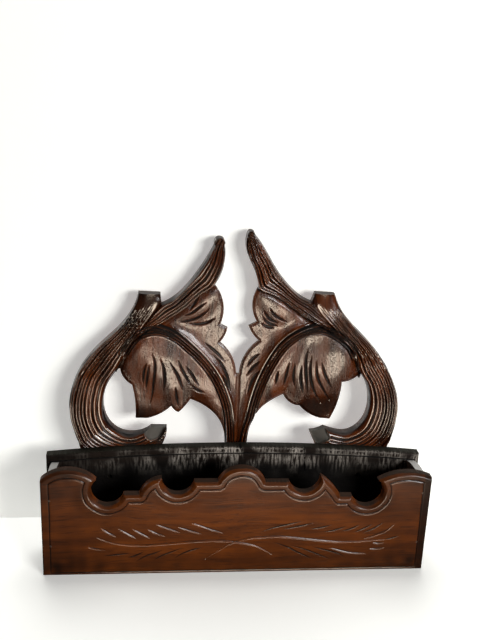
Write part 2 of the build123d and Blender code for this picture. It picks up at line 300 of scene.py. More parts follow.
# %% Grain
def make_grain_group():
    """Grain along the third axis of Place: Figure is the slow colour change, Pores are short lines."""
    tree, given, put = new_group("hardwood_grain",
                                 {"Place": None, "Figure Scale": 90.0, "Pore Scale": 900.0},
                                 ["Figure", "Pores"])
    drift = add_node(tree, "ShaderNodeTexNoise", Vector=given["Place"], Scale=14.0, Detail=1.0)
    push = add_node(tree, "ShaderNodeVectorMath", {"operation": "MULTIPLY_ADD"},
                    _0=drift.outputs["Color"], _1=(0.012, 0.012, 0.0), _2=given["Place"])
    long_way = scaled(tree, push.outputs[0], 1.0, 1.0, 0.07)
    bands = noise_of(tree, long_way, given["Figure Scale"], 4.0, 0.62)
    short_way = scaled(tree, push.outputs[0], 1.0, 1.0, 0.05)
    pores = noise_of(tree, short_way, given["Pore Scale"], 1.0)
    tree.links.new(between(tree, bands, 0.28, 0.72), put["Figure"])
    tree.links.new(between(tree, pores, 0.56, 0.68), put["Pores"])
    return tree


grain_group = make_grain_group()
print("group", grain_group.name)

# %% [markdown]
# Old varnish is never even. It has dulled in fine specks, has worn in large patches, and
# its film lies in small waves over the pores. Painted maps could show this, but noise
# at three sizes does it for every board, and the finish says how much of it there is.

# %% Old varnish
def make_age_group():
    """Specks are dull dots in the varnish, Patches are large worn areas, Relief is the uneven film."""
    tree, given, put = new_group("old_varnish", {"Place": None, "Speck Scale": 620.0, "Amount": 0.5},
                                 ["Specks", "Patches", "Relief"])
    dots = noise_of(tree, given["Place"], given["Speck Scale"], 3.0, 0.7)
    patches = noise_of(tree, given["Place"], 28.0, 4.0, 0.6)
    level = worked(tree, "SUBTRACT", 0.72, product(tree, given["Amount"], 0.3))
    clustered = worked(tree, "ADD", dots, product(tree, patches, 0.15))
    above = worked(tree, "SUBTRACT", clustered, level)
    film = noise_of(tree, given["Place"], 260.0, 3.0, 0.6)
    tree.links.new(between(tree, above, -0.02, 0.10), put["Specks"])
    tree.links.new(between(tree, patches, 0.42, 0.64), put["Patches"])
    tree.links.new(worked(tree, "ADD", product(tree, film, 0.5), dots), put["Relief"])
    return tree


age_group = make_age_group()
print("group", age_group.name)

# %% [markdown]
# Hands rub the varnish off the edges first. Edges could be marked by hand on every board.
# Here they are found by comparing the true normal with one that is rounded over a small
# radius, which also works on boards with few faces.

# %% Worn edges
def make_wear_group():
    """1 on edges, 0 on flat places, within Radius of the edge."""
    tree, given, put = new_group("edge_wear", {"Radius": 0.0008}, ["Wear"])
    rounded = add_node(tree, "ShaderNodeBevel", {"samples": 6}, Radius=given["Radius"])
    true = add_node(tree, "ShaderNodeNewGeometry")
    same = add_node(tree, "ShaderNodeVectorMath", {"operation": "DOT_PRODUCT"},
                    _0=rounded.outputs[0], _1=true.outputs["Normal"])
    tree.links.new(between(tree, same.outputs["Value"], 0.995, 0.86), put["Wear"])
    return tree


wear_group = make_wear_group()
print("group", wear_group.name)

# %% [markdown]
# One function makes every wood finish, from a dark and a light colour of the grain and from
# how glossy and how worn the varnish is. The base is quite rough and the shine comes from
# a clear coat, as on the real thing. Marks that the carving left on the mesh are read
# here: the cuts are painted dark, partly for dirt and partly as painted shade, dark patches
# are painted in, as real stain on the front board and as painted shade elsewhere, handled
# rims are a little paler, with painted highlights on a few of them, and faces that look up
# get a painted tone of their own. Five separate materials would also work, but then each
# change would be made five times.

# %% One wood finish
MARKS = ("cut", "smooth", "bare", "stain_and_shade", "sawn")    # what the carving leaves on the mesh
COAT_ROUGHNESS = 0.17
SAWN_PAINTED_SHADE = (0.060, 0.060, 0.050, 1)
WEAR_RADIUS = 0.0009
FILM_DEPTH = 0.0004
LOOKS_UP = (0.62, 0.88)  # upward part of the normal where the painted colour of faces that look up starts and is full
PORE_STRENGTH = 0.4      # how strongly each colour covers the one below it
PATCH_STRENGTH = 0.35
WORN_STRENGTH = 0.7
UPWARD_PAINTED_STRENGTH = 0.85
DIRT_AND_SHADE_STRENGTH = 0.95
SMOOTH_GAIN = 0.11       # roughness that smooth places lose
DULL_LOSS = 0.24         # roughness that dull and bare places gain
BARE_LOSS = 0.15


def put_group(tree, group, **sockets):
    return add_node(tree, "ShaderNodeGroup", {"node_tree": group}, **sockets).outputs


def colour_mix(tree, amount, below, above):
    node = tree.nodes.new("ShaderNodeMix")
    node.data_type = "RGBA"
    for index, value in ((0, amount), (6, below), (7, above)):
        if isinstance(value, bpy.types.NodeSocket):
            tree.links.new(value, node.inputs[index])
        else:
            node.inputs[index].default_value = value
    return node.outputs[2]


def mark_of(tree, name):
    return add_node(tree, "ShaderNodeAttribute", {"attribute_name": name}).outputs["Fac"]


def old_wood(name, dark, light, dirt, worn, upward_painted_tone, grain_turn, gloss, roughness, specks, bump,
             specular=0.4, upper_rough=0.8, speck_scale=620.0, speck_stretch=1.0):
    """grain_turn brings the grain onto the third axis; faces that look up get painted shade, on side boards
    a pale sheen.
    """
    material, tree, shader = new_material(name)
    place = add_node(tree, "ShaderNodeTexCoord").outputs["Object"]
    along = add_node(tree, "ShaderNodeMapping", Vector=place, Rotation=grain_turn).outputs[0]
    grain = put_group(tree, grain_group, Place=along)
    age = put_group(tree, age_group, Place=scaled(tree, place, 1, 1, speck_stretch),
                    Speck_Scale=speck_scale, Amount=specks)
    wear = put_group(tree, wear_group, Radius=WEAR_RADIUS)["Wear"]
    cut, smoothed, bare, stain_and_shade, sawn = (mark_of(tree, mark) for mark in MARKS)
    normal = add_node(tree, "ShaderNodeNewGeometry").outputs["Normal"]
    upward = add_node(tree, "ShaderNodeSeparateXYZ", _0=normal).outputs["Z"]
    top = between(tree, upward, *LOOKS_UP)

    colour = colour_mix(tree, grain["Figure"], (*dark, 1), (*light, 1))
    colour = colour_mix(tree, product(tree, grain["Pores"], PORE_STRENGTH), colour, (*dirt, 1))
    colour = colour_mix(tree, product(tree, age["Patches"], PATCH_STRENGTH), colour, (*dark, 1))
    # The stain mark darkens towards the dirt colour: real stain on the front board, painted shade on the
    # leaves and inside the back board's trough.
    colour = colour_mix(tree, stain_and_shade, colour, (*dirt, 1))
    wear = product(tree, wear, between(tree, stain_and_shade, 0.0, 0.7, 1.0, 0.0))
    # Worn edges and the bare mark turn paler: real wear, and a painted highlight on the lip of a sawn end
    # and along two lines of the back board.
    edges = worked(tree, "MAXIMUM", wear, bare)
    broken = product(tree, edges, between(tree, age["Specks"], 0.0, 1.0, 0.02, 1.0))
    colour = colour_mix(tree, product(tree, broken, WORN_STRENGTH), colour, (*worn, 1))
    # Faces that look up are painted: dark painted shade on most boards, a pale painted sheen on the side
    # boards' rims.
    colour = colour_mix(tree, product(tree, top, UPWARD_PAINTED_STRENGTH), colour, (*upward_painted_tone, 1))
    # A bracket's sawn end is painted grey-green: the painted shade of a face that looks up.
    colour = colour_mix(tree, sawn, colour, SAWN_PAINTED_SHADE)
    top = worked(tree, "MAXIMUM", top, sawn)
    # Cuts, flutes and cracks are painted dark towards the dirt colour: dirt, and painted shade in the
    # hollows.
    colour = colour_mix(tree, between(tree, cut, 0.05, 0.60, 0.0, DIRT_AND_SHADE_STRENGTH), colour, (*dirt, 1))
    tree.links.new(colour, shader.inputs["Base Color"])

    dots = product(tree, age["Specks"], between(tree, smoothed, 0.0, 1.0, 1.0, 0.2))
    dulled = worked(tree, "MAXIMUM", dots, between(tree, cut, 0.2, 0.9))
    least = between(tree, smoothed, 0.0, 1.0, roughness, roughness - SMOOTH_GAIN)
    rough = worked(tree, "ADD", least, product(tree, dulled, DULL_LOSS))
    rough = worked(tree, "ADD", rough, product(tree, bare, BARE_LOSS))
    rough = add_node(tree, "ShaderNodeMix", {"data_type": "FLOAT"}, _0=top, _2=rough, _3=upper_rough)
    tree.links.new(rough.outputs[0], shader.inputs["Roughness"])
    dull = worked(tree, "MAXIMUM", dulled, worked(tree, "MAXIMUM", top, bare))
    tree.links.new(between(tree, dull, 0.0, 1.0, gloss, 0.0), shader.inputs["Coat Weight"])
    shader.inputs["Coat Roughness"].default_value = COAT_ROUGHNESS
    shader.inputs["Specular IOR Level"].default_value = specular

    depth = worked(tree, "SUBTRACT", age["Relief"], product(tree, grain["Pores"], 0.5))
    depth = product(tree, depth, between(tree, smoothed, 0.0, 1.0, 1.0, 0.12))
    uneven = add_node(tree, "ShaderNodeBump", Height=depth, Strength=bump, Distance=FILM_DEPTH)
    tree.links.new(uneven.outputs[0], shader.inputs["Normal"])
    return material


print("marks that a finish reads", MARKS)

# %% [markdown]
# The brackets are the glossiest and reddest wood, with vertical grain. The front board is
# warm brown and satin. The back board is nearly black, with grey bare streaks where
# letters rubbed against it. Faces that look up are painted dark as shade, but the side
# boards' sawn rims are painted pale grey, a painted sheen. The bottom board never had
# varnish and is dull. Each finish is one call with its own colours.

# %% All the wood finishes
ALONG_X = (0.0, math.radians(90), 0.0)
ALONG_Z = (0.0, 0.0, 0.0)
FINISHES = {
    "bracket_wood": old_wood("carved_wood", dark=(0.024, 0.0050, 0.0011), light=(0.140, 0.0290, 0.0038),
                             dirt=(0.0020, 0.0010, 0.0006), worn=(0.240, 0.130, 0.070),
                             upward_painted_tone=(0.0090, 0.0070, 0.0040), grain_turn=ALONG_Z, gloss=0.5, roughness=0.245,
                             specks=0.5, bump=0.9, speck_scale=900.0),
    "front_wood": old_wood("front_board_wood", dark=(0.064, 0.0155, 0.0028), light=(0.160, 0.0370, 0.0034),
                           dirt=(0.0050, 0.0025, 0.0015), worn=(0.220, 0.090, 0.040),
                           upward_painted_tone=(0.011, 0.0090, 0.0060), grain_turn=ALONG_X, gloss=0.4, roughness=0.40,
                           specks=0.4, bump=0.35, specular=0.12),
    "back_wood": old_wood("back_board_wood", dark=(0.0030, 0.0020, 0.0014), light=(0.0130, 0.0070, 0.0045),
                          dirt=(0.0015, 0.0012, 0.0010), worn=(0.560, 0.500, 0.430),
                          upward_painted_tone=(0.012, 0.0110, 0.0070), grain_turn=ALONG_X, gloss=0.0, roughness=0.50,
                          specks=0.80, bump=0.9, specular=0.1,
                          speck_scale=1000.0, speck_stretch=0.25),
    "side_wood": old_wood("side_board_wood", dark=(0.020, 0.0095, 0.0050), light=(0.070, 0.0300, 0.0150),
                          dirt=(0.0040, 0.0030, 0.0020), worn=(0.300, 0.260, 0.220),
                          upward_painted_tone=(0.330, 0.3200, 0.3000), grain_turn=ALONG_X, gloss=0.2, roughness=0.50,
                          specks=0.6, bump=0.5, upper_rough=0.45),
    "inner_wood": old_wood("bottom_board_wood", dark=(0.012, 0.0070, 0.0042), light=(0.045, 0.0240, 0.0130),
                           dirt=(0.0040, 0.0030, 0.0020), worn=(0.100, 0.070, 0.045),
                           upward_painted_tone=(0.015, 0.0100, 0.0070), grain_turn=ALONG_X, gloss=0.0, roughness=0.70,
                           specks=0.4, bump=0.5),
}
print("wood finishes", sorted(FINISHES))

# %% [markdown]
# The nails and screws are iron and steel that have browned where they touch the wood. The
# same varnish group gives the patches: metal shows where the brown film is thin. One
# could mix two whole shaders by that film. Here it steers one shader's colour, metal and
# roughness, which is enough for such small heads. Then every frame piece gets its finish.

# %% Nails and screws
RUST_BUMP = 0.3
RUST_DEPTH = 0.0002


def old_metal(name, bare, rust, roughness, rusted):
    """A nail or screw: dull metal with brown film in patches."""
    material, tree, shader = new_material(name)
    place = add_node(tree, "ShaderNodeTexCoord").outputs["Object"]
    age = put_group(tree, age_group, Place=place, Speck_Scale=1800.0, Amount=rusted)
    film = worked(tree, "MAXIMUM", age["Specks"], product(tree, age["Patches"], 0.6))
    tree.links.new(colour_mix(tree, film, (*bare, 1), (*rust, 1)), shader.inputs["Base Color"])
    tree.links.new(between(tree, film, 0.0, 1.0, 0.95, 0.25), shader.inputs["Metallic"])
    tree.links.new(between(tree, film, 0.0, 1.0, roughness, 0.8), shader.inputs["Roughness"])
    uneven = add_node(tree, "ShaderNodeBump", Height=age["Relief"], Strength=RUST_BUMP, Distance=RUST_DEPTH)
    tree.links.new(uneven.outputs[0], shader.inputs["Normal"])
    return material


FINISHES["brad_iron"] = old_metal("browned_iron", (0.16, 0.13, 0.11), (0.045, 0.022, 0.012), 0.45, 0.7)
FINISHES["screw_steel"] = old_metal("dull_steel", (0.34, 0.31, 0.28), (0.11, 0.055, 0.028), 0.40, 0.4)

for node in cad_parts.values():
    for index, old in enumerate(node.data.materials):
        node.data.materials[index] = FINISHES[old.name]
print("finishes given to", len(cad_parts), "frame pieces")

# %% [markdown]
# The carved boards are height fields: seen from the front, each point inside a board's
# outline has one height above the board's rear face. A grid pushed up by a displacement
# texture could do this, but its edges would be ragged. So the outline is taken from the
# frame, the inside is filled with points, a Delaunay triangulation joins them, and each
# point is then set at its carved height. Plans are in millimetres, as (across, up).

# %% Outlines of the frame's boards
SAME_DEPTH = 0.01        # millimetres


def loop_area(loop):
    x, z = loop[:, 0], loop[:, 1]
    return 0.5 * abs(np.sum(x * np.roll(z, -1) - z * np.roll(x, -1)))


def face_loops(node, depth):
    """Closed outlines of a board's flat face that lies at this depth, largest first."""
    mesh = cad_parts[node].data
    places = np.empty(len(mesh.vertices) * 3)
    mesh.vertices.foreach_get("co", places)
    places = places.reshape(-1, 3) / MM
    names = [tuple(p) for p in np.round(places, 3)]
    runs = set()
    for polygon in mesh.polygons:
        if all(abs(places[v][1] - depth) < SAME_DEPTH for v in polygon.vertices):
            ring = [names[v] for v in polygon.vertices]
            runs.update(zip(ring, ring[1:] + ring[:1]))
    follows = {a: b for a, b in runs if (b, a) not in runs}
    loops = []
    while follows:
        ring, place = [], next(iter(follows))
        while place in follows:
            ring.append((place[0], place[2]))
            place = follows.pop(place)
        loops.append(np.array(ring))
    return sorted(loops, key=loop_area, reverse=True)


def resampled(loop, pitch):
    """The same closed loop with long sides cut into pieces no longer than the pitch."""
    points = []
    for a, b in zip(loop, np.roll(loop, -1, axis=0)):
        pieces = max(1, math.ceil(np.hypot(*(b - a)) / pitch))
        points += [a + (b - a) * i / pieces for i in range(pieces)]
    return np.array(points)


def resampled_line(line, pitch):
    """An open line with points at most one pitch apart."""
    steps = np.hypot(*np.diff(line, axis=0).T)
    along = np.concatenate([[0], np.cumsum(steps)])
    stops = np.linspace(0, along[-1], max(2, math.ceil(along[-1] / pitch)))
    return np.column_stack([np.interp(stops, along, line[:, 0]), np.interp(stops, along, line[:, 1])])


bracket_rear = frame_box[1].y / MM
left_outlines = face_loops("left_bracket", bracket_rear)
print("left bracket outlines, mm2", [round(loop_area(loop), 1) for loop in left_outlines])

# %% [markdown]
# A carver thinks in lines: the run of a flute, the middle of a vein. Each line is given by
# a few points and drawn as a smooth curve through them. Blender's own curve objects could
# hold these lines, but they can't be asked for a distance. The carved depth depends on
# how far a place is from a line, so here a distance helper does most work.

# %% Lines and distances
def smooth(points, chord=1.0):
    """A smooth curve through given points, as short chords."""
    points = np.array(points, float)
    if len(points) == 2:
        points = np.array([points[0], points.mean(axis=0), points[1]])
    ends = np.vstack([2 * points[0] - points[1], points, 2 * points[-1] - points[-2]])
    curve = []
    for a, b, c, d in zip(ends[:-3], ends[1:-2], ends[2:-1], ends[3:]):
        for t in np.linspace(0, 1, max(2, math.ceil(np.hypot(*(c - b)) / chord)), endpoint=False):
            curve.append(0.5 * (2 * b + (c - a) * t + (2 * a - 5 * b + 4 * c - d) * t ** 2
                                + (3 * b - a - 3 * c + d) * t ** 3))
    return np.array(curve + [points[-1]])


def near(places, curve, reach=1e6):
    """Distance to a curve, share of its length there, and side: +1 is left of its run."""
    distance, share, side = np.full(len(places), 1e6), np.zeros(len(places)), np.ones(len(places))
    low, high = curve.min(axis=0) - reach, curve.max(axis=0) + reach
    close = np.where(np.all((places >= low) & (places <= high), axis=1))[0]
    spots = places[close]
    best, at, hand = distance[close], share[close], side[close]
    runs = np.diff(curve, axis=0)
    lengths = np.hypot(runs[:, 0], runs[:, 1])
    start = np.concatenate([[0], np.cumsum(lengths)])
    for i, (run, length) in enumerate(zip(runs, lengths)):
        rel = spots - curve[i]
        t = np.clip(rel @ run / length ** 2, 0, 1)
        off = rel - t[:, None] * run
        d = np.hypot(off[:, 0], off[:, 1])
        closer = d < best
        best[closer] = d[closer]
        at[closer] = (start[i] + t[closer] * length) / start[-1]
        hand[closer] = np.sign(run[0] * rel[closer, 1] - run[1] * rel[closer, 0] + 1e-12)
    distance[close], share[close], side[close] = best, at, hand
    return distance, share, side


def eased(value):
    """0 to 1 with soft ends."""
    value = np.clip(value, 0, 1)
    return value * value * (3 - 2 * value)


def inside(places, corners):
    """True for the places inside a closed outline."""
    result = np.zeros(len(places), bool)
    x, z = places[:, 0], places[:, 1]
    for (x0, z0), (x1, z1) in zip(corners, np.roll(corners, -1, axis=0)):
        if z0 != z1:
            crossing = x0 + (z - z0) * (x1 - x0) / (z1 - z0)
            result ^= ((z0 > z) != (z1 > z)) & (x < crossing)
    return result


def wander(places, size, seed):
    """Slow random waves from about -1 to 1, the unsteadiness of a hand."""
    return np.array([noise.noise(Vector((x / size, z / size, seed))) for x, z in places]) * 1.6


test_bow = smooth([(0, 0), (5, 5), (10, 0)])
test_gap = near(np.array([(5.0, 0.0)]), test_bow)[0][0]
print("a bow through 3 points has", len(test_bow), "points, and (5, 0) lies", round(test_gap, 2), "mm off")

# %% [markdown]
# A carved board keeps its outline and openings exactly. Extra lines, such as the bottoms
# of the incised strokes, become edges of the triangles, so that a cut stays crisp. The
# rest is filled with a triangular grid that is fine where the carving is. A remesh would
# be quicker to write, but it would round every sawn corner.

# %% Filling an outline
OUTLINE_DOTS = 0.2       # millimetres between the dots that stand for an outline


def distance_to_dots(places, dots):
    """Distance of each place to the nearest dot."""
    tree = kdtree.KDTree(len(dots))
    for i, (x, z) in enumerate(dots):
        tree.insert((x, z, 0), i)
    tree.balance()
    return np.array([tree.find((x, z, 0))[2] for x, z in places])


def distance_to_loops(places, loops):
    """Distance of each place to the nearest outline."""
    return distance_to_dots(places, np.vstack([resampled(loop, OUTLINE_DOTS) for loop in loops]))


def triangular_grid(loops, pitch):
    """Grid points inside the outer outline and outside its openings."""
    low, high = loops[0].min(axis=0), loops[0].max(axis=0)
    starts = np.vstack(loops)
    ends = np.vstack([np.roll(loop, -1, axis=0) for loop in loops])
    points = []
    for row, z in enumerate(np.arange(low[1] + pitch / 2, high[1], pitch * math.sqrt(0.75))):
        crosses = (starts[:, 1] > z) != (ends[:, 1] > z)
        a, b = starts[crosses], ends[crosses]
        stops = np.sort(a[:, 0] + (z - a[:, 1]) * (b[:, 0] - a[:, 0]) / (b[:, 1] - a[:, 1]))
        for x0, x1 in zip(stops[::2], stops[1::2]):
            first = math.ceil(x0 / pitch - (row % 2) / 2) + (row % 2) / 2
            points += [(x, z) for x in np.arange(first * pitch, x1, pitch)]
    return np.array(points)


def fill(loops, lines=(), inner=None):
    """Triangulates the area inside the outlines. Returns the points and the triangles."""
    points, edges = [], []
    for loop in loops:
        first = len(points)
        points += list(loop)
        edges += [(first + i, first + (i + 1) % len(loop)) for i in range(len(loop))]
    on_outline = len(points)
    for line in lines:
        first = len(points)
        points += list(line)
        edges += [(first + i, first + i + 1) for i in range(len(line) - 1)]
    if inner is not None:
        points += list(inner)
    made, _, triangles, *_ = delaunay_2d_cdt([Vector(p) for p in points], edges, [], 0, 1e-5)
    made = np.array([tuple(p) for p in made])
    triangles = np.array(triangles)
    centres = made[triangles].mean(axis=1)
    unsure = np.where(np.all(triangles < on_outline, axis=1))[0]
    keep = np.ones(len(triangles), bool)
    counted = np.zeros(len(unsure), bool)
    for loop in loops:
        counted ^= inside(centres[unsure], loop)
    keep[unsure] = counted
    return made, triangles[keep]


test_square = resampled(np.array([(0, 0), (10, 0), (10, 10), (0, 10)], float), 2)
test_grid = triangular_grid([test_square], 2)
print("a 10 mm square filled at 2 mm has", len(fill([test_square], (), test_grid)[1]), "triangles")

# %% [markdown]
# A board is then three skins that share their rims: the carved front, the flat rear as it
# came from the saw, and straight walls between them. A solidify modifier would make the
# walls too, but not a rear that stays flat. The marks of the carving are stored on the
# points for the finish to read, and another helper hides the frame piece that a board replaces.

# %% A carved board
GRID_CLEARANCE = 0.45    # share of a pitch that the grid keeps from outlines and lines
CRISP_ANGLE = 50         # degrees between faces from which an edge stays crisp


def turn_outwards(board):
    """Turns all faces outwards and keeps only steep edges crisp."""
    mesh = board.data
    bm = bmesh.new()
    bm.from_mesh(mesh)
    bmesh.ops.recalc_face_normals(bm, faces=bm.faces)
    bm.to_mesh(mesh)
    bm.free()
    mesh.shade_smooth()
    mesh.set_sharp_from_angle(angle=math.radians(CRISP_ANGLE))


def relief_board(name, loops, rear, heights, pitch, lines, fine=None, side=1):
    """A board between a flat rear face and a carved front; side -1 mirrors a right-hand plan."""
    loops = [resampled(loop, pitch) for loop in loops]
    grid = triangular_grid(loops, pitch)
    if fine is not None:
        grid = grid[fine(grid)]
    grid = grid[distance_to_loops(grid, loops) > GRID_CLEARANCE * pitch]
    grid = grid[distance_to_dots(grid, np.vstack(lines)) > GRID_CLEARANCE * pitch]
    plan, front = fill(loops, lines, grid)
    height, marks = heights(plan)
    rear_plan, rear_faces = fill(loops)
    count = sum(len(loop) for loop in loops)
    places = [(side * x * MM, (rear - h) * MM, z * MM) for (x, z), h in zip(plan, height)]
    places += [(side * x * MM, rear * MM, z * MM) for x, z in rear_plan[:count]]
    faces = [tuple(t) for t in front.tolist()]
    faces += [tuple(len(plan) + v for v in t) for t in rear_faces.tolist()]
    first = 0
    for loop in loops:
        ring = range(first, first + len(loop))
        for a, b in zip(ring, [*ring[1:], ring[0]]):
            faces.append((a, b, len(plan) + b, len(plan) + a))
        first += len(loop)
    mesh = bpy.data.meshes.new(name)
    mesh.from_pydata(places, [], faces)
    for mark, values in marks.items():
        layer = mesh.attributes.new(mark, "FLOAT", "POINT")
        full = np.concatenate([values, np.zeros(count)])
        layer.data.foreach_set("value", full.astype(np.float32))
    board = bpy.data.objects.new(name, mesh)
    bpy.context.scene.collection.objects.link(board)
    turn_outwards(board)
    print(name, len(mesh.vertices), "points", len(mesh.polygons), "faces")
    return board


def hand_in(board, node, finish):
    """Hangs the board under the root, hides the frame piece it stands for, and gives it its finish."""
    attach(board, "root")
    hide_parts(node)
    board.data.materials.append(FINISHES[finish])
    return board


print("helpers", [helper.__name__ for helper in (turn_outwards, relief_board, hand_in)])

# %% [markdown]
# Every cut of the carver's gouge is deepest in the middle of its run and lifts out at both
# ends. Seen across, it is a V with one crisp bottom line. Swells are the opposite: soft
# rises of a leaf's surface, each an oval with a place, two radii, a turn and a height. With
# a height below zero they are hollows, and the same ovals also say where painted shade lies.
# Sculpting by hand would do as well, but written lines can be moved and tried again.

# %% Cuts and swells
GOUGE_HALF = 1.5         # half the width of a gouge cut, and its depth
GOUGE_DEPTH = 2.1


def gouge_cuts(places, runs, half_width, depth):
    """Depth of V cuts along drawn runs."""
    cut = np.zeros(len(places))
    for run in runs:
        curve = smooth(run)
        distance, share, _ = near(places, curve, half_width)
        strength = np.sin(math.pi * np.clip(share, 0.02, 0.98)) ** 0.6
        cut = np.maximum(cut, depth * strength * np.clip(1 - distance / (half_width * strength), 0, 1))
    return cut


def swells(places, ovals):
    """Flat-topped ovals: (across, up, radius along, radius over, turn in degrees, height)."""
    rise = np.zeros(len(places))
    for x, z, along, over, turn, height in ovals:
        c, s = math.cos(math.radians(turn)), math.sin(math.radians(turn))
        dx, dz = places[:, 0] - x, places[:, 1] - z
        u, v = (c * dx + s * dz) / along, (c * dz - s * dx) / over
        rise += height * np.exp(-(u * u + v * v) ** 1.8)
    return rise


test_cut = gouge_cuts(np.array([(5.0, 0.0)]), [[(0, 0), (10, 0)]], GOUGE_HALF, GOUGE_DEPTH)
print("a gouge cut is", round(test_cut[0], 2), "mm deep in the middle of its run")

# %% [markdown]
# Each bracket was sawn from a plank and carved as a branch that curls into a scroll, with
# a sawn stub, a pointed twig and one drooping leaf. Long parallel flutes follow the branch
# from the scroll up into the stub and along the twig, and one thick vein leaves the
# branch, arches over and runs down as the stem. The two sides are hand work and differ,
# so both have their own lines, each point given as distance from the middle and height.
# The stub drops a little towards its sawn top, and it is painted darker there.

# %% Lines of the left bracket
LEFT = dict(
    seed=3.0, bough_flutes=9, twig_flutes=5, stub_drop=2.5, stub_darkening=0.45,
    branch_inner=[(101.5, 160.5), (95, 172), (90, 181), (78, 196), (62, 205), (46, 216), (33, 228),
                  (22, 236)],
    leaf_corners=[(-5, 236), (-5, 60), (50, 60), (50, 112.5), (90, 112.5), (94, 146)],
    bough_outer=[(66, 92), (78, 84), (98, 80), (118, 84), (131, 92), (136.5, 102), (141, 125), (135.5, 155),
                 (119, 180), (98, 201), (87, 218), (83.7, 229)],
    bough_inner=[(62, 112), (72.8, 109.3), (87, 103.4), (97.4, 104.8), (108.5, 114.5), (112.8, 131),
                 (110, 147.5), (102.5, 160.3), (92, 181), (78, 202), (65, 219.5), (65.8, 228.4)],
    twig_outer=[(90, 194), (76, 207), (64.8, 219.5), (56, 224.3), (46.5, 233.3), (38, 244.3), (30.3, 256.3),
                (23.2, 269.6), (18.5, 277)],
    twig_inner=[(94, 180), (78, 196), (62, 205), (46, 216), (33, 228), (22, 236), (15, 254), (14.8, 272)],
    divide=[(92, 176), (86, 191), (78, 202), (70, 212), (62, 222)],
    stub_top=229.0,
    rib=[(97, 172), (93, 181), (87.5, 189), (82, 194), (74, 197), (66, 197), (57.5, 194), (49.5, 189),
         (41, 181.5), (32.5, 173), (24, 162.5), (17, 151), (11.5, 138), (7.8, 125), (5.8, 108), (5.2, 92)],
    facet=[(78.5, 103), (74.5, 99.3), (69.5, 98.8), (65, 101), (61.2, 106), (59, 112.5), (66, 114),
           (73, 112.8), (77.3, 108.5)],
    facet_start=(75, 99.5),
    swells=[(58, 160, 46, 21, 46, 4.4), (37, 224, 24, 16, 142, 2.8), (80, 90, 34, 36, 0, -4.5),
            (26, 114, 34, 13, 61, -3.0)],
    # Ovals of painted shade, on parts of the leaf that turn away from the light.
    painted_shade=[(80, 118, 17, 13, 0, 0.75), (95, 158, 16, 5, 70, 0.5), (28, 128, 26, 8, 61, 0.6)],
    gouges=[
        [(77, 169.5), (79.2, 160), (79.8, 149)], [(74.6, 168), (76.3, 156), (77.6, 144)],
        [(72.8, 179.5), (69.8, 168), (71, 152), (72, 140), (73.7, 130)],
        [(65.7, 174), (62.7, 165), (61.8, 154), (63, 143)],
        [(57.4, 170), (50.8, 158), (46, 144)], [(51, 172.7), (46.2, 161.5), (39.5, 148.5)],
        [(44.5, 167.5), (38.7, 158.5), (33, 148.5)], [(39.5, 149.5), (33.8, 144.5), (28, 142)],
        [(52.5, 148), (51.4, 138), (50, 129)],
        [(34.6, 225.5), (38.2, 219.5), (42.5, 213.5)], [(28, 221), (33.6, 217), (40, 211.7), (46.5, 209)],
        [(25, 217), (28.6, 212), (36.7, 206.5), (46.4, 203.8), (51.3, 204.2)],
        [(20.3, 207), (26.7, 203), (35, 201.4), (43, 202)],
        [(29.2, 185.7), (19.8, 177.4), (11.2, 168.5)],
        [(22.5, 176.4), (13.8, 165.5), (7.8, 151.5), (5.5, 140)],
        [(13.6, 157.5), (9.6, 149.5), (6, 141)]],
)
print("left bracket:", len(LEFT["gouges"]), "gouge cuts,", LEFT["bough_flutes"], "flutes on the bough")

# %% [markdown]
# The right bracket was meant to mirror the left one, but the carver worked by eye. Its
# cuts lie elsewhere, its twig has more flutes, and the tip of its leaf carries more painted
# shade. A mirrored copy would be quicker, and would at once look machine made.

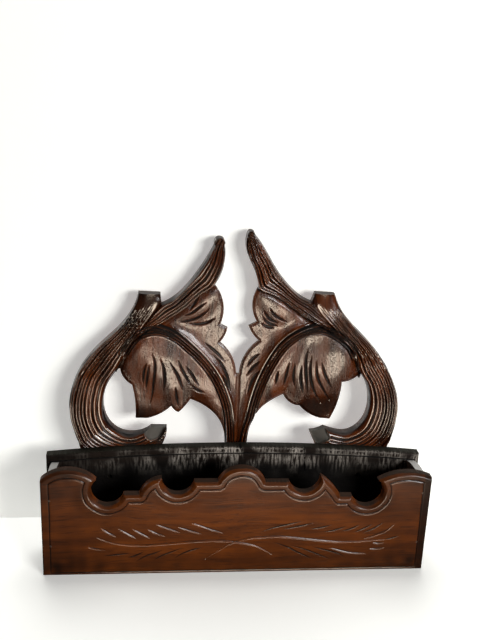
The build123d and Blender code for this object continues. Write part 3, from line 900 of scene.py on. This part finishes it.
# %% Lines of the right bracket
RIGHT = dict(
    seed=8.0, bough_flutes=9, twig_flutes=7, stub_drop=2.5, stub_darkening=0.12,
    branch_inner=[(105, 159.3), (101, 168), (95, 180), (82, 193), (66, 203), (50, 213), (30, 227),
                  (14, 233.6)],
    leaf_corners=[(-5, 233.6), (-5, 60), (55, 60), (55, 111.5), (86, 111.5), (93, 146)],
    bough_outer=[(66, 88), (80, 82), (98, 79), (118, 84), (131, 94), (138, 107), (140.5, 130), (132, 157),
                 (115, 182.5), (98, 200), (84, 216.5), (77.8, 229.8)],
    bough_inner=[(66, 112), (77, 108.3), (86, 105.2), (97.6, 104.4), (109.5, 113), (114.6, 131),
                 (111.6, 148), (105, 159.3), (95, 180), (78, 200), (60, 219), (61, 230.6)],
    twig_outer=[(88, 196), (72, 211), (58.3, 222.7), (48, 228.3), (38, 237.6), (27.3, 251.6), (16.7, 269),
                (9, 278.6), (5, 283)],
    twig_inner=[(97, 177), (82, 193), (66, 203), (50, 213), (30, 227), (14, 233.6), (9.6, 250), (4.1, 262),
                (2.5, 280)],
    divide=[(95, 172), (88, 190), (78, 200), (68, 211), (56, 225)],
    stub_top=230.0,
    rib=[(102, 168), (94, 184), (84, 192.5), (75, 197), (66.5, 199), (58.5, 198), (50, 194.5), (42, 189),
         (34, 180), (26.5, 166.5), (20.5, 152), (16, 136), (12.3, 118), (8.8, 103), (7, 90)],
    facet=[(62, 108), (71, 93), (79, 97), (82.5, 100.5), (80, 106), (77.5, 110.5)],
    facet_start=(81, 98),
    swells=[(82, 168, 30, 16, 75, 3.8), (38, 162, 28, 10, 66, 2.8), (58, 158, 26, 9, 80, 2.0),
            (30, 225, 24, 16, 125, 2.8), (72, 92, 42, 40, 0, -5.5), (26, 114, 34, 13, 61, -3.0)],
    # Ovals of painted shade, on parts of the leaf that turn away from the light.
    painted_shade=[(68, 125, 24, 13, 15, 0.85), (60, 190, 22, 7, 0, 0.1), (101, 150, 12, 7, 60, 0.6)],
    gouges=[
        [(33.6, 163), (32.6, 155.5), (32, 149.5)], [(43, 171), (40.8, 159.7), (39.2, 147.5)],
        [(53.7, 167), (53.5, 154.5), (56.8, 139)], [(58.3, 183), (56.8, 170), (58.2, 155), (60.2, 139)],
        [(61.5, 177), (61.2, 160), (65.7, 143.5), (72.8, 131)],
        [(65.6, 173), (67.6, 156.7), (74.3, 143.5), (79.8, 134)],
        [(70, 171), (74.3, 158), (81, 145.5)], [(48, 170), (47, 158), (48.5, 147)],
        [(18, 202.7), (22, 200), (29, 198.4)], [(18.4, 209), (23.7, 203), (32, 200.2)],
        [(19, 215), (24.3, 207), (32.8, 203)], [(24.2, 216.7), (29, 210), (39.5, 204)],
        [(18, 175.6), (12, 170.6), (7.7, 163.6)], [(18.7, 169.6), (12.4, 162.6), (7.6, 155.5)],
        [(20, 163), (13, 153), (8.5, 138)]],
)
print("right bracket:", len(RIGHT["gouges"]), "gouge cuts,", RIGHT["bough_flutes"], "flutes on the bough")

# %% [markdown]
# The height is put together as the carver did it, and the branch comes first. It keeps
# nearly the whole thickness and is rounded towards both its rims. Where a place lies
# between the two rims, as a share from 0 to 1, gives the flutes: ridges with sharp bottoms
# that crowd a little towards the outer rim. A modelled strand for each flute would also
# work, but then every strand would need its own end in the stub and at the twig's tip.

# %% The branch
PLANK = 12.0             # full thickness of a bracket
CROWN_DROP = 3.8         # how much lower the branch is at its rims
CROWN_RADIUS = 8.0
FLUTE_DEPTH = 2.5
FLUTE_CROWDING = 1.4     # above 1, the flutes are closer together towards the outer rim
FLUTE_WANDER = 0.16      # how far a flute wanders sideways, in flutes
FLUTE_POINT = 1.1        # the higher it is, the narrower are the bottoms between the ridges
FORK_HEIGHT = 176        # above this the branch is split into stub and twig
STUB_DROP_RUN = 30       # length below the stub's top over which it drops
FLUTES_END = 8           # below the stub's top, and the length over which they fade in
FLUTES_FADE = 22
DARK_END = 36            # below the stub's top, and the length over which it fades out
DARK_FADE = 14


def across(places, outer, inner):
    """0 on the outer rim, 1 on the inner rim, and the distance to the nearer of both."""
    from_outer = near(places, smooth(outer))[0]
    from_inner = near(places, smooth(inner))[0]
    return from_outer / (from_outer + from_inner + 1e-6), np.minimum(from_outer, from_inner)


def carve_branch(plan, lines):
    """Level of the branch, its fluted height, and how dark the flute bottoms and the stub are painted."""
    unsteady = wander(plan, 22, lines["seed"])
    bough_share, bough_rim = across(plan, lines["bough_outer"], lines["bough_inner"])
    twig_share, twig_rim = across(plan, lines["twig_outer"], lines["twig_inner"])
    twig = (near(plan, smooth(lines["divide"]))[2] > 0) & (plan[:, 1] > FORK_HEIGHT)
    bough_share = 1 - (1 - bough_share) ** FLUTE_CROWDING
    flute = np.where(twig, twig_share * lines["twig_flutes"], bough_share * lines["bough_flutes"])
    flute += FLUTE_WANDER * unsteady
    rim = np.where(twig, twig_rim, bough_rim)
    fall = 1 - np.clip(rim / CROWN_RADIUS, 0, 1)
    crown = PLANK - CROWN_DROP * (1 - np.sqrt(1 - fall * fall))
    below_top = lines["stub_top"] - plan[:, 1]
    crown -= np.where(twig, 0, lines["stub_drop"] * eased(1 - below_top / STUB_DROP_RUN))
    uneven = 0.85 + 0.3 * np.sin(2.4 * np.round(flute) + lines["seed"])
    fading = np.where(twig, 1, eased((below_top - FLUTES_END) / FLUTES_FADE))
    fluted = (1 - np.abs(np.sin(math.pi * flute))) ** FLUTE_POINT * uneven * fading
    height = crown - FLUTE_DEPTH * fluted * (0.85 + 0.4 * unsteady)
    # Flute bottoms are painted dark, as dirt and painted shade; the stub is painted darker towards its sawn
    # top.
    stub_dark = np.where(twig, 0, lines["stub_darkening"] * eased((DARK_END - below_top) / DARK_FADE))
    return crown, height, np.maximum(fluted ** 1.3, stub_dark)


test_row = np.column_stack([np.linspace(112, 141, 291), np.full(291, 130.0)])
test_heights = carve_branch(test_row, LEFT)[1]
print("left bough 130 mm up:", round(min(test_heights), 1), "to", round(max(test_heights), 1), "mm thick")

# %% [markdown]
# The branch ends in a slanted saw cut, at the tip of the scroll. Seen from the front it is
# a shallow dish with a thin raised lip. The dish is painted grey-green, a painted shade like
# that of faces that look up, and the lip is painted paler in specks, a painted highlight.
# A cutter and a boolean could make the dish, but the lip would need a second body. As
# heights each takes one line: the lower of dish and branch, and more beside the ring.

# %% The sawn end
FACET_TOP = 11.4         # thickness where the cut starts
FACET_SLOPE = 0.42
FACET_DISH = 0.7         # how hollow it is, and how far in from the lip it deepens
DISH_REACH = 2.5
LIP_WIDTH = 0.9
LIP_RISE = 1.2


def cut_facet(plan, crown, height, lines):
    """Which places lie in the cut, and the height with the cut made."""
    ring = smooth(lines["facet"] + lines["facet"][:1])
    within = inside(plan, ring)
    lip = near(plan, ring)[0]
    away = np.hypot(*(plan - np.array(lines["facet_start"])).T)
    dish = FACET_TOP - FACET_SLOPE * away - FACET_DISH * eased(lip / DISH_REACH)
    height = np.where(within, np.minimum(dish, crown + 1.0), height)
    raised = np.maximum(height, np.minimum(crown, height + LIP_RISE))
    return within, np.where(lip < LIP_WIDTH, raised, height)


print("left sawn end covers", round(loop_area(smooth(LEFT["facet"]))), "mm2")

# %% [markdown]
# The leaf is set lower than the branch and swells. It banks up to its vein, sinks where it
# comes out from under the branch, and thins towards its edge. The gouge cuts go in last.
# Brushes in sculpt mode could shape it too. Here all of this adds up as heights, so each
# effect can be seen and changed by itself.

# %% The leaf
BLADE_OUTER = 6.2        # level of the leaf outside the vein, and inside it
BLADE_INNER = 3.0
OUTER_BANK = (0.9, 14.0)  # how high the leaf banks up to the vein, and how far out
INNER_BANK = (5.0, 6.5)
BLADE_THINNING = 0.9     # loss towards the leaf's edge, and how far in it starts
THINNING_REACH = 2.5
LEAF_WAVES = 0.15        # height and size of the unevenness that the tool left
LEAF_WAVE_SIZE = 12
STEM_THICKENING = 0.07   # for each millimetre down from the leaf
STEM_START = 136
BRANCH_SINK = 2.4        # how deep the leaf dives beside the branch
BRANCH_SINK_REACH = 3.0


def carve_leaf(plan, edge, off_rib, rib_share, lines):
    """Height of the leaf, and how dark it is painted: its gouges by their depth, and a painted shadow where
    it dives under the branch.
    """
    outer = BLADE_OUTER + OUTER_BANK[0] * np.exp(-(off_rib / OUTER_BANK[1]) ** 2)
    bank = INNER_BANK[0] * eased((rib_share - 0.2) / 0.2)
    inner = BLADE_INNER + bank * np.exp(-(off_rib / INNER_BANK[1]) ** 2)
    blade = np.where(off_rib > 0, outer, inner) + swells(plan, lines["swells"])
    blade += LEAF_WAVES * wander(plan, LEAF_WAVE_SIZE, lines["seed"] + 5)
    blade += np.where(off_rib > 0, STEM_THICKENING * np.clip(STEM_START - plan[:, 1], 0, 50), 0)
    from_branch = near(plan, smooth(lines["branch_inner"]))[0]
    blade -= BRANCH_SINK * np.exp(-(from_branch / BRANCH_SINK_REACH) ** 2)
    blade -= BLADE_THINNING * (1 - eased(edge / THINNING_REACH))
    gouged = gouge_cuts(plan, lines["gouges"], GOUGE_HALF, GOUGE_DEPTH)
    # Painted dark: the gouges by their depth, as dirt and painted shade, and a painted shadow beside the
    # branch.
    shade = np.maximum(gouged / GOUGE_DEPTH, 0.8 * np.exp(-(from_branch / 1.1) ** 2))
    return blade - gouged, shade


print("leaf levels", BLADE_OUTER, "and", BLADE_INNER, "mm in a plank of", PLANK, "mm")

# %% [markdown]
# The vein is the leaf's midrib. It stands above the leaf as three ridges between four cuts,
# and is thickest where it leaves the branch. A profile swept along a curve would have to
# be blended into the leaf. As a rise and four cuts it all follows from one drawn line, and
# its ridges and cuts become edges of the triangles, as crisp as those of a V tool.

# %% The vein
RIB_RISE = 3.0
RIB_ROOT_RISE = 1.6      # added where it leaves the branch
RIB_START_SHARE = 0.06   # share of its length over which it comes out of the branch
RIB_ROOT_SHARE = 0.4     # and over which the added height is lost
RIB_HALF = 3.6
RIB_CUTS = ((3.5, 2.4, 1.3), (1.2, 2.1, 1.2), (-1.2, 2.1, 1.2), (-3.6, 2.2, 1.4))  # offset, depth, half
RIB_LINES = (3.5, 2.35, 1.2, 0.0, -1.2, -2.4, -3.6)    # bottoms of the cuts and tops of the ridges


def carve_vein(off_rib, rib_share):
    """How much the vein rises, and the depth of the cuts along it."""
    start = eased(rib_share / RIB_START_SHARE)
    thick = RIB_RISE + RIB_ROOT_RISE * (1 - eased(rib_share / RIB_ROOT_SHARE))
    rise = start * thick * eased(1.5 - np.abs(off_rib) / RIB_HALF)
    cut = np.zeros(len(off_rib))
    for offset, depth, half in RIB_CUTS:
        profile = np.clip(1 - np.abs(off_rib - offset) / half, 0, 1) ** 1.5
        cut = np.maximum(cut, depth * start * profile)
    return rise, cut


def rib_lines(lines, loops):
    """Lines along the vein's cuts and ridges, kept clear of the outline."""
    rib = resampled_line(smooth(lines["rib"])[4:], 0.6)
    runs = np.gradient(rib, axis=0)
    left = np.column_stack([-runs[:, 1], runs[:, 0]]) / np.hypot(*runs.T)[:, None]
    kept = []
    for offset in RIB_LINES:
        line = rib + offset * left
        usable = distance_to_loops(line, loops) > 0.6
        for loop in loops[1:]:
            usable &= ~inside(line, loop)
        usable &= inside(line, loops[0])
        ends = np.flatnonzero(np.diff(usable.astype(int))) + 1
        runs_of_line = zip(np.split(line, ends), np.split(usable, ends))
        kept += [run for run, fits in runs_of_line if fits[0] and len(run) > 2]
    return kept


rib_steps = np.hypot(*np.diff(smooth(LEFT["rib"]), axis=0).T)
print("left vein is", round(rib_steps.sum()), "mm long")

# %% [markdown]
# Now the pieces of the carving meet. Inside the branch's inner line a place belongs to the
# leaf, outside it to the branch, and the vein lies over both. The foot strip stays flat.
# Painted shade and dirt in the cuts, dark patches of painted shade on the leaves and a
# darker band along the branch's outline are kept as marks, and the branch, the vein and
# the dark patches shine more evenly than the leaf. Separate meshes for leaf and branch
# would need a seam where they meet. One mesh needs none, and at half a millimetre its
# triangles still show each ridge.

# %% Both brackets
STRIP_TOP = 84.0         # below this the plank is flat and lies behind the back board
LEAST_THICKNESS = 1.5
RIM_DARKENING = 0.25         # along the outline of the branch, and how wide it is
RIM_DARKENING_WIDTH = 3
DARKEST_STAIN_AND_SHADE = 0.9
SMALL_HOLE = 60.0        # outlines with less area are drilled holes, not openings
BRACKET_PITCH = 0.485


def carve_bracket(plan, loops, lines):
    """Height of each place on a bracket, and the marks that the carving leaves."""
    edge = distance_to_loops(plan, [loop for loop in loops if loop_area(loop) > SMALL_HOLE])
    leaf = inside(plan, np.vstack([smooth(lines["branch_inner"]), lines["leaf_corners"]]))
    rib_distance, rib_share, rib_side = near(plan, smooth(lines["rib"]))
    off_rib = rib_distance * rib_side
    rise, rib_cut = carve_vein(off_rib, rib_share)
    on_leaf, leaf_shade = carve_leaf(plan, edge, off_rib, rib_share, lines)
    crown, on_branch, branch_shade = carve_branch(plan, lines)
    sawn, on_branch = cut_facet(plan, crown, on_branch, lines)
    strip = plan[:, 1] < STRIP_TOP
    height = np.where(leaf, on_leaf + rise, on_branch) - rib_cut
    height = np.where(strip, PLANK, np.clip(height, LEAST_THICKNESS, PLANK))

    shade = np.where(leaf, leaf_shade, np.where(sawn, 0, branch_shade))
    # The vein's cuts are painted dark by their depth: dirt and painted shade in the hollows.
    shade = np.maximum(shade, (rib_cut / 2.0) ** 1.5)
    rim_darkening = RIM_DARKENING * (1 - eased(edge / RIM_DARKENING_WIDTH))
    stain_and_shade = np.where(leaf, swells(plan, lines["painted_shade"]), rim_darkening)
    polished = np.maximum(~leaf, eased((off_rib + 8) / 3) * (off_rib < RIB_HALF))
    polished = np.maximum(polished, np.clip(stain_and_shade / 0.7, 0, 1))
    sawn = sawn & ~leaf
    lip = near(plan, smooth(lines["facet"]))[0]
    # Marks: cuts painted dark as dirt and painted shade, leaf patches as painted shade, the sawn end
    # grey-green as painted shade, its lip pale as a painted highlight.
    marks = {"cut": np.where(strip, 0, np.clip(shade, 0, 1)),
             "smooth": polished,
             "stain_and_shade": np.clip(stain_and_shade, 0, DARKEST_STAIN_AND_SHADE),
             "sawn": 0.9 * sawn * eased(lip / 1.2),
             "bare": np.where(sawn & (lip < 1.0), 0.9, 0)}
    return height, marks


def build_bracket(node, lines, side):
    """Carves one bracket; the plan is drawn for the right half, so side -1 mirrors the left one."""
    loops = [loop * np.array((side, 1)) for loop in face_loops(node, bracket_rear)]

    def heights(plan):
        return carve_bracket(plan, loops, lines)

    board = relief_board(node + "_carved", loops, bracket_rear, heights, BRACKET_PITCH,
                         rib_lines(lines, loops), side=side)
    return hand_in(board, node, "bracket_wood")


left_bracket = build_bracket("left_bracket", LEFT, -1)
right_bracket = build_bracket("right_bracket", RIGHT, +1)

# %% [markdown]
# Two sprays of twigs are cut into the front board in free hand, each with a long stem and
# two rows of short strokes. They are drawn as strokes of three or four points, from left
# to right. The bright ones were cut with the tool held at a slant, so that one side is a
# slope that catches the window's light. The dark ones are only scratched in, and their
# darkness is painted shade in the colour. A bump texture could draw all this, but real
# cuts also hold when the board is seen from the side.

# %% Strokes of the front board
SPRAY_STEMS = [
    [(-115.5, 35.5), (-105, 31), (-92, 28.5), (-75.5, 28), (-59.5, 29), (-42, 30.5), (-25.5, 31.5),
     (-12, 31), (-1, 29.5), (7, 28), (16.5, 25), (25, 20), (29.5, 17)],
    [(-26.5, 13.5), (-20.5, 18.5), (-14, 23), (-8.5, 27), (-1.5, 30), (8.5, 33), (18.5, 34), (34.5, 34.5),
     (48, 33), (67, 30.5), (85, 28.5), (101.5, 28.5), (124.5, 30)],
]
BRIGHT_STROKES = [
    [(-112, 44.5), (-106.5, 40), (-100, 36.5)], [(-98, 43.5), (-91, 39), (-84, 34.5)],
    [(-86.5, 43), (-80, 39), (-72.5, 34.5)], [(-74, 42.5), (-67.5, 39), (-60.5, 36.5)],
    [(-67, 47), (-58, 43.5), (-48, 39.5)], [(-49.5, 44.5), (-39.5, 41), (-30.5, 38)],
    [(-38, 48), (-30, 45), (-21.5, 41.5), (-12.5, 38.5)], [(-123, 26.5), (-116.5, 25), (-109.5, 24)],
    [(107.5, 31), (117, 34.5), (125.5, 38.5), (131.5, 44)], [(114.5, 27), (119.5, 26.5), (124, 27)],
    [(112.5, 21), (118.5, 21), (125, 22)], [(78.5, 22.5), (92, 18.5), (101.5, 17), (109.5, 16.5)],
]
DARK_STROKES = [
    [(-111, 18), (-99.5, 19), (-88, 20.5)], [(-90.5, 16), (-84, 18), (-77.5, 21.5)],
    [(-84, 12), (-76.5, 17), (-68.5, 20), (-61.5, 23)],
    [(-70, 12.5), (-63.5, 17), (-54.5, 21), (-46, 24.5)],
    [(-52.5, 14.5), (-46, 19), (-37.5, 22.5), (-28.5, 25)],
    [(18.5, 38.5), (29, 42.5), (43, 46), (55, 49)], [(36.5, 41), (47.5, 43), (64, 47)],
    [(60.5, 41), (68.5, 42), (78.5, 44.5)], [(71.5, 38), (81, 39.5), (91.5, 43.5)],
    [(87, 38.5), (94.5, 40.5), (102.5, 44.5)], [(98, 37), (105.5, 40.5), (113.5, 45)],
    [(105.5, 36.5), (115, 41), (123, 47)], [(124.5, 30), (130.5, 31), (137, 33.5)],
    [(30, 29), (41, 24.5), (50.5, 19), (66, 11)], [(45, 25.5), (58, 21), (68, 16.5), (80.5, 11)],
    [(63, 24), (74.5, 20.5), (86.5, 16.5), (92.5, 12.5)],
]
SPRAYS = (               # strokes, their cut, and how dark they are painted, as shade and dirt
    (SPRAY_STEMS, dict(depth=0.75, steep=0.5, gentle=1.3), 1.0),
    (BRIGHT_STROKES, dict(depth=0.62, steep=0.8, gentle=0.85), 1.0),
    (DARK_STROKES, dict(depth=0.12, steep=0.8, gentle=0.7, dirt=1.3), 1.25),
)


def slanted_cut(above, steep, gentle, dirt=0.3):
    """Depth share of a cut and how dark it is painted, as shade and dirt, from the signed distance above
    its bottom line.
    """
    depth = np.clip(np.where(above > 0, 1 - above / steep, 1 + above / gentle), 0, 1)
    dark = np.clip(np.where(above > 0, 1 - above / (1.5 * steep), 1 + above / (dirt * gentle)), 0, 1)
    return depth, dark


def incise(plan, strokes, depth, steep, gentle, dirt=0.3):
    """Depth and darkness of many strokes together, each lifting out at its ends."""
    cut, shade = np.zeros(len(plan)), np.zeros(len(plan))
    for stroke in strokes:
        distance, share, side = near(plan, smooth(stroke), gentle)
        strength = np.sin(math.pi * np.clip(share, 0.03, 0.97)) ** 0.5
        share_cut, dark = slanted_cut(distance * side / strength, steep, gentle, dirt)
        cut = np.maximum(cut, depth * strength * share_cut)
        shade = np.maximum(shade, strength * dark)
    return cut, shade


print("strokes", [len(strokes) for strokes, cut, darkness in SPRAYS])

# %% [markdown]
# The front board has a broad bevel along its scalloped top, and a fine quirk follows the
# whole outline some millimetres inside it. The quirk too is slanted: above its bottom line
# it is steep and painted dark as shade, below it lies a bright slope. Old polish has left
# the board paler in the middle and darker towards its edges. The bevel could be a modifier,
# but the quirk and the stain need the same distances, so all of it is worked out from them.

# %% Carving of the front board
FRONT_REAR = -22.0       # its rear face, in millimetres
FRONT_T = 8.0
FRONT_BEVEL_W = 2.6
FRONT_BEVEL_D = 2.4
ARRIS = 0.8              # small bevel along ends and base
QUIRK_TOP = 6.4          # the quirk's distance from the scallops, the ends and the base
QUIRK_END = 6.4
QUIRK_BASE = 2.4
QUIRK_DEPTH = 0.55
QUIRK_STEEP = 0.5
FRONT_PITCH = 0.55
OUTLINE_STEP = 0.3       # between the points of an outline that distances are taken to
BASE_STAIN = (0.42, 8, 22)    # strength, full up to this distance, and gone over this length
END_STAIN = (0.30, 12, 60)
TOP_STAIN = (0.25, 4, 16)
LEFT_BAND = 0.35         # stain between the quirk and the ends
RIGHT_BAND = 0.88


def faded(distance, strength, start, length):
    return strength * (1 - eased((distance - start) / length))


def top_edge(outline):
    """Half of a board's length, and the points of its outline along the top."""
    half = np.max(outline[:, 0])
    return half, outline[(np.abs(outline[:, 0]) < half - 0.01) & (outline[:, 1] > 1)]


def carve_front(plan, outline):
    """Height of each place on the front board, and the marks that the carving leaves."""
    half, scallops = top_edge(outline)
    from_top = distance_to_dots(plan, scallops)
    from_end = half - np.abs(plan[:, 0])
    from_base = plan[:, 1]
    bevel = np.clip(1 - from_top / FRONT_BEVEL_W, 0, 1) ** 1.25 * FRONT_BEVEL_D
    bevel = np.maximum(bevel, np.clip(ARRIS - np.minimum(from_end, from_base), 0, ARRIS))
    within = np.minimum(from_top - QUIRK_TOP, np.minimum(from_end - QUIRK_END, from_base - QUIRK_BASE))
    hand = wander(plan, 9, 5.0)
    # Where the outline above runs level, the quirk's lower slope is broader and catches more light.
    step_up = 0.3
    higher = distance_to_dots(plan + np.array((0, step_up)), scallops)
    level = eased(((from_top - higher) / step_up - 0.80) / 0.17)
    quirk, quirk_dark = slanted_cut(-within + 0.12 * hand, QUIRK_STEEP, 0.65 + 0.45 * level, 1.0)
    quirk *= QUIRK_DEPTH * (1 + 0.3 * hand) * np.where(from_base < QUIRK_BASE + 2, 0.6, 1)
    cuts, dark = quirk, quirk_dark
    for strokes, shape, darkness in SPRAYS:
        spray_cut, spray_dark = incise(plan, strokes, **shape)
        cuts = np.maximum(cuts, spray_cut)
        dark = np.maximum(dark, darkness * spray_dark)
    height = FRONT_T - bevel - cuts
    height -= 0.12 * (1 + wander(plan, 45, 2.0)) * eased((within - 2) / 6)
    band = np.where(plan[:, 0] > 0, RIGHT_BAND, LEFT_BAND) * eased((QUIRK_END + 2.5 - from_end) / 4)
    edges = faded(from_base, *BASE_STAIN) + faded(from_end, *END_STAIN) + faded(from_top, *TOP_STAIN)
    # The cut mark paints the quirk and the strokes dark along their bottoms and steep sides: painted shade
    # and dirt.
    marks = {"cut": np.clip(0.75 * dark, 0, 1),
             "smooth": np.full(len(plan), 0.6),
             "stain_and_shade": np.clip(np.maximum(edges * (1 + 0.3 * hand), band), 0, DARKEST_STAIN_AND_SHADE)}
    return height, marks


def build_front():
    loops = face_loops("front_board", FRONT_REAR)
    outline = resampled(loops[0], OUTLINE_STEP)
    bottoms = [resampled_line(smooth(stroke), 0.6) for strokes, *_ in SPRAYS for stroke in strokes]

    def heights(plan):
        return carve_front(plan, outline)

    def fine(grid):
        """Every grid point near an edge or a stroke, and a few of the others."""
        carved = distance_to_loops(grid, [loops[0]]) < 9.5
        carved |= distance_to_dots(grid, np.vstack(bottoms)) < 2.6
        sparse = (np.mod(grid[:, 0], 2.2) < 0.3) & (np.mod(grid[:, 1], 1.95) < 0.5)
        return carved | sparse

    board = relief_board("front_board_carved", loops, FRONT_REAR, heights, FRONT_PITCH, bottoms, fine=fine)
    return hand_in(board, "front_board", "front_wood")


front_board = build_front()

# %% [markdown]
# The back board shows a narrow strip above the front. A quirk runs along it under its
# arched top edge, the varnish of the strip is rubbed down to grey, and it has a crack
# right of the middle and a small chip in its edge. Letters pushed in and out have scored
# it from above, so its rough streaks run up and down. They could be colour only, but worn
# varnish is also lower than sound varnish, so the same noise gives height and bare wood.

# %% Carving of the back board
BACK_REAR = 18.0
BACK_FRONT = 9.0
BACK_BEVEL = 1.5
BACK_QUIRK = 6.2         # distance from the top edge
BACK_QUIRK_HALF = 0.9    # half its width, and its depth
BACK_QUIRK_DEPTH = 0.9
BACK_PITCH = 0.6
CRACK = [(58.8, 98), (58.2, 91), (58.8, 84), (60, 74)]
CRACK_DEPTH = 1.2
CHIP = (3.0, 97.3)
CHIP_DEPTH = 1.3
STREAK_WIDTH = 1.6
STREAK_LENGTH = 9
STREAK_DEPTH = 0.22


def carve_back(plan, outline):
    """Height of each place on the back board, and its marks: wear, two lines of painted highlight, and
    painted shade in the cuts and the trough.
    """
    half, arch = top_edge(outline)
    from_top = distance_to_dots(plan, arch)
    from_end = half - np.abs(plan[:, 0])
    bevel = np.clip(BACK_BEVEL - np.minimum(from_top, from_end), 0, BACK_BEVEL)
    hand = wander(plan, 12, 4.0)
    off_quirk = np.abs(from_top - BACK_QUIRK - 0.2 * hand)
    quirk = np.clip(1 - off_quirk / BACK_QUIRK_HALF, 0, 1) * (from_end > 3)
    crack_width = 0.35 + 0.1 * hand
    crack = np.clip(1 - near(plan, smooth(CRACK), 2)[0] / crack_width, 0, 1)
    chip = np.exp(-((plan[:, 0] - CHIP[0]) ** 2 + (plan[:, 1] - CHIP[1]) ** 2) / 1.6)
    strip = (from_top < BACK_QUIRK) & (from_top > 0.5)
    streaks = np.array([noise.noise(Vector((x / STREAK_WIDTH, z / STREAK_LENGTH, 7.0))) for x, z in plan])
    rough = STREAK_DEPTH * streaks * np.where(strip, 1, np.exp(-np.clip(from_top - BACK_QUIRK, 0, 99) / 9))
    height = BACK_REAR - BACK_FRONT - bevel - np.abs(rough)
    height -= BACK_QUIRK_DEPTH * quirk + CRACK_DEPTH * crack + CHIP_DEPTH * chip
    patchy = (0.05 + 0.95 * eased((plan[:, 0] + 150) / 150)) * (1 - 0.45 * eased((plan[:, 0] - 40) / 60))
    patchy *= eased(0.62 + 0.9 * wander(plan, 14, 6.0))
    rubbed = patchy * eased(0.5 + 1.5 * streaks)
    bare = rubbed * np.where(strip, 1.0, 0.9 * np.exp(-((from_top - BACK_QUIRK) / 10) ** 2))
    # Two pale lines, along the bevel's edge and above the quirk: worn edges and painted highlights.
    edge_line = np.exp(-((from_top - BACK_BEVEL) / 0.4) ** 2)
    edge_line += np.exp(-((from_top - BACK_QUIRK + 1.1) / 0.4) ** 2)
    # The quirk, crack and chip are painted dark as dirt and painted shade, and below the strip the trough
    # is painted dark as shade.
    marks = {"cut": np.clip(np.maximum(quirk, 1.5 * crack) + chip, 0, 1),
             "smooth": np.zeros(len(plan)),
             "bare": np.clip(np.maximum(bare, patchy * edge_line), 0, 1),
             "stain_and_shade": 0.9 * eased((from_top - BACK_QUIRK - 2) / 12)}
    return height, marks


def build_back():
    loops = face_loops("back_board", BACK_REAR)[:1]
    loops += [loop for loop in face_loops("back_board", BACK_FRONT) if loop_area(loop) < SMALL_HOLE]
    outline = resampled(loops[0], OUTLINE_STEP)

    def heights(plan):
        return carve_back(plan, outline)

    def fine(grid):
        """Every grid point of the part that shows, and a few of the others."""
        sparse = (np.mod(grid[:, 0], 3.0) < 0.31) & (np.mod(grid[:, 1], 2.6) < 0.6)
        return (distance_to_loops(grid, [outline]) < 20) & (grid[:, 1] > 70) | sparse

    crack_line = resampled_line(smooth(CRACK)[2:], 0.6)
    board = relief_board("back_board_carved", loops, BACK_REAR, heights, BACK_PITCH, [crack_line],
                         fine=fine)
    return hand_in(board, "back_board", "back_wood")


back_board = build_back()

# %% [markdown]
# The carved surfaces keep the frame's outlines. The last cell prints the names of the four carved boards.

# %% The carved boards
print("carved", [board.name for board in (left_bracket, right_bracket, front_board, back_board)])
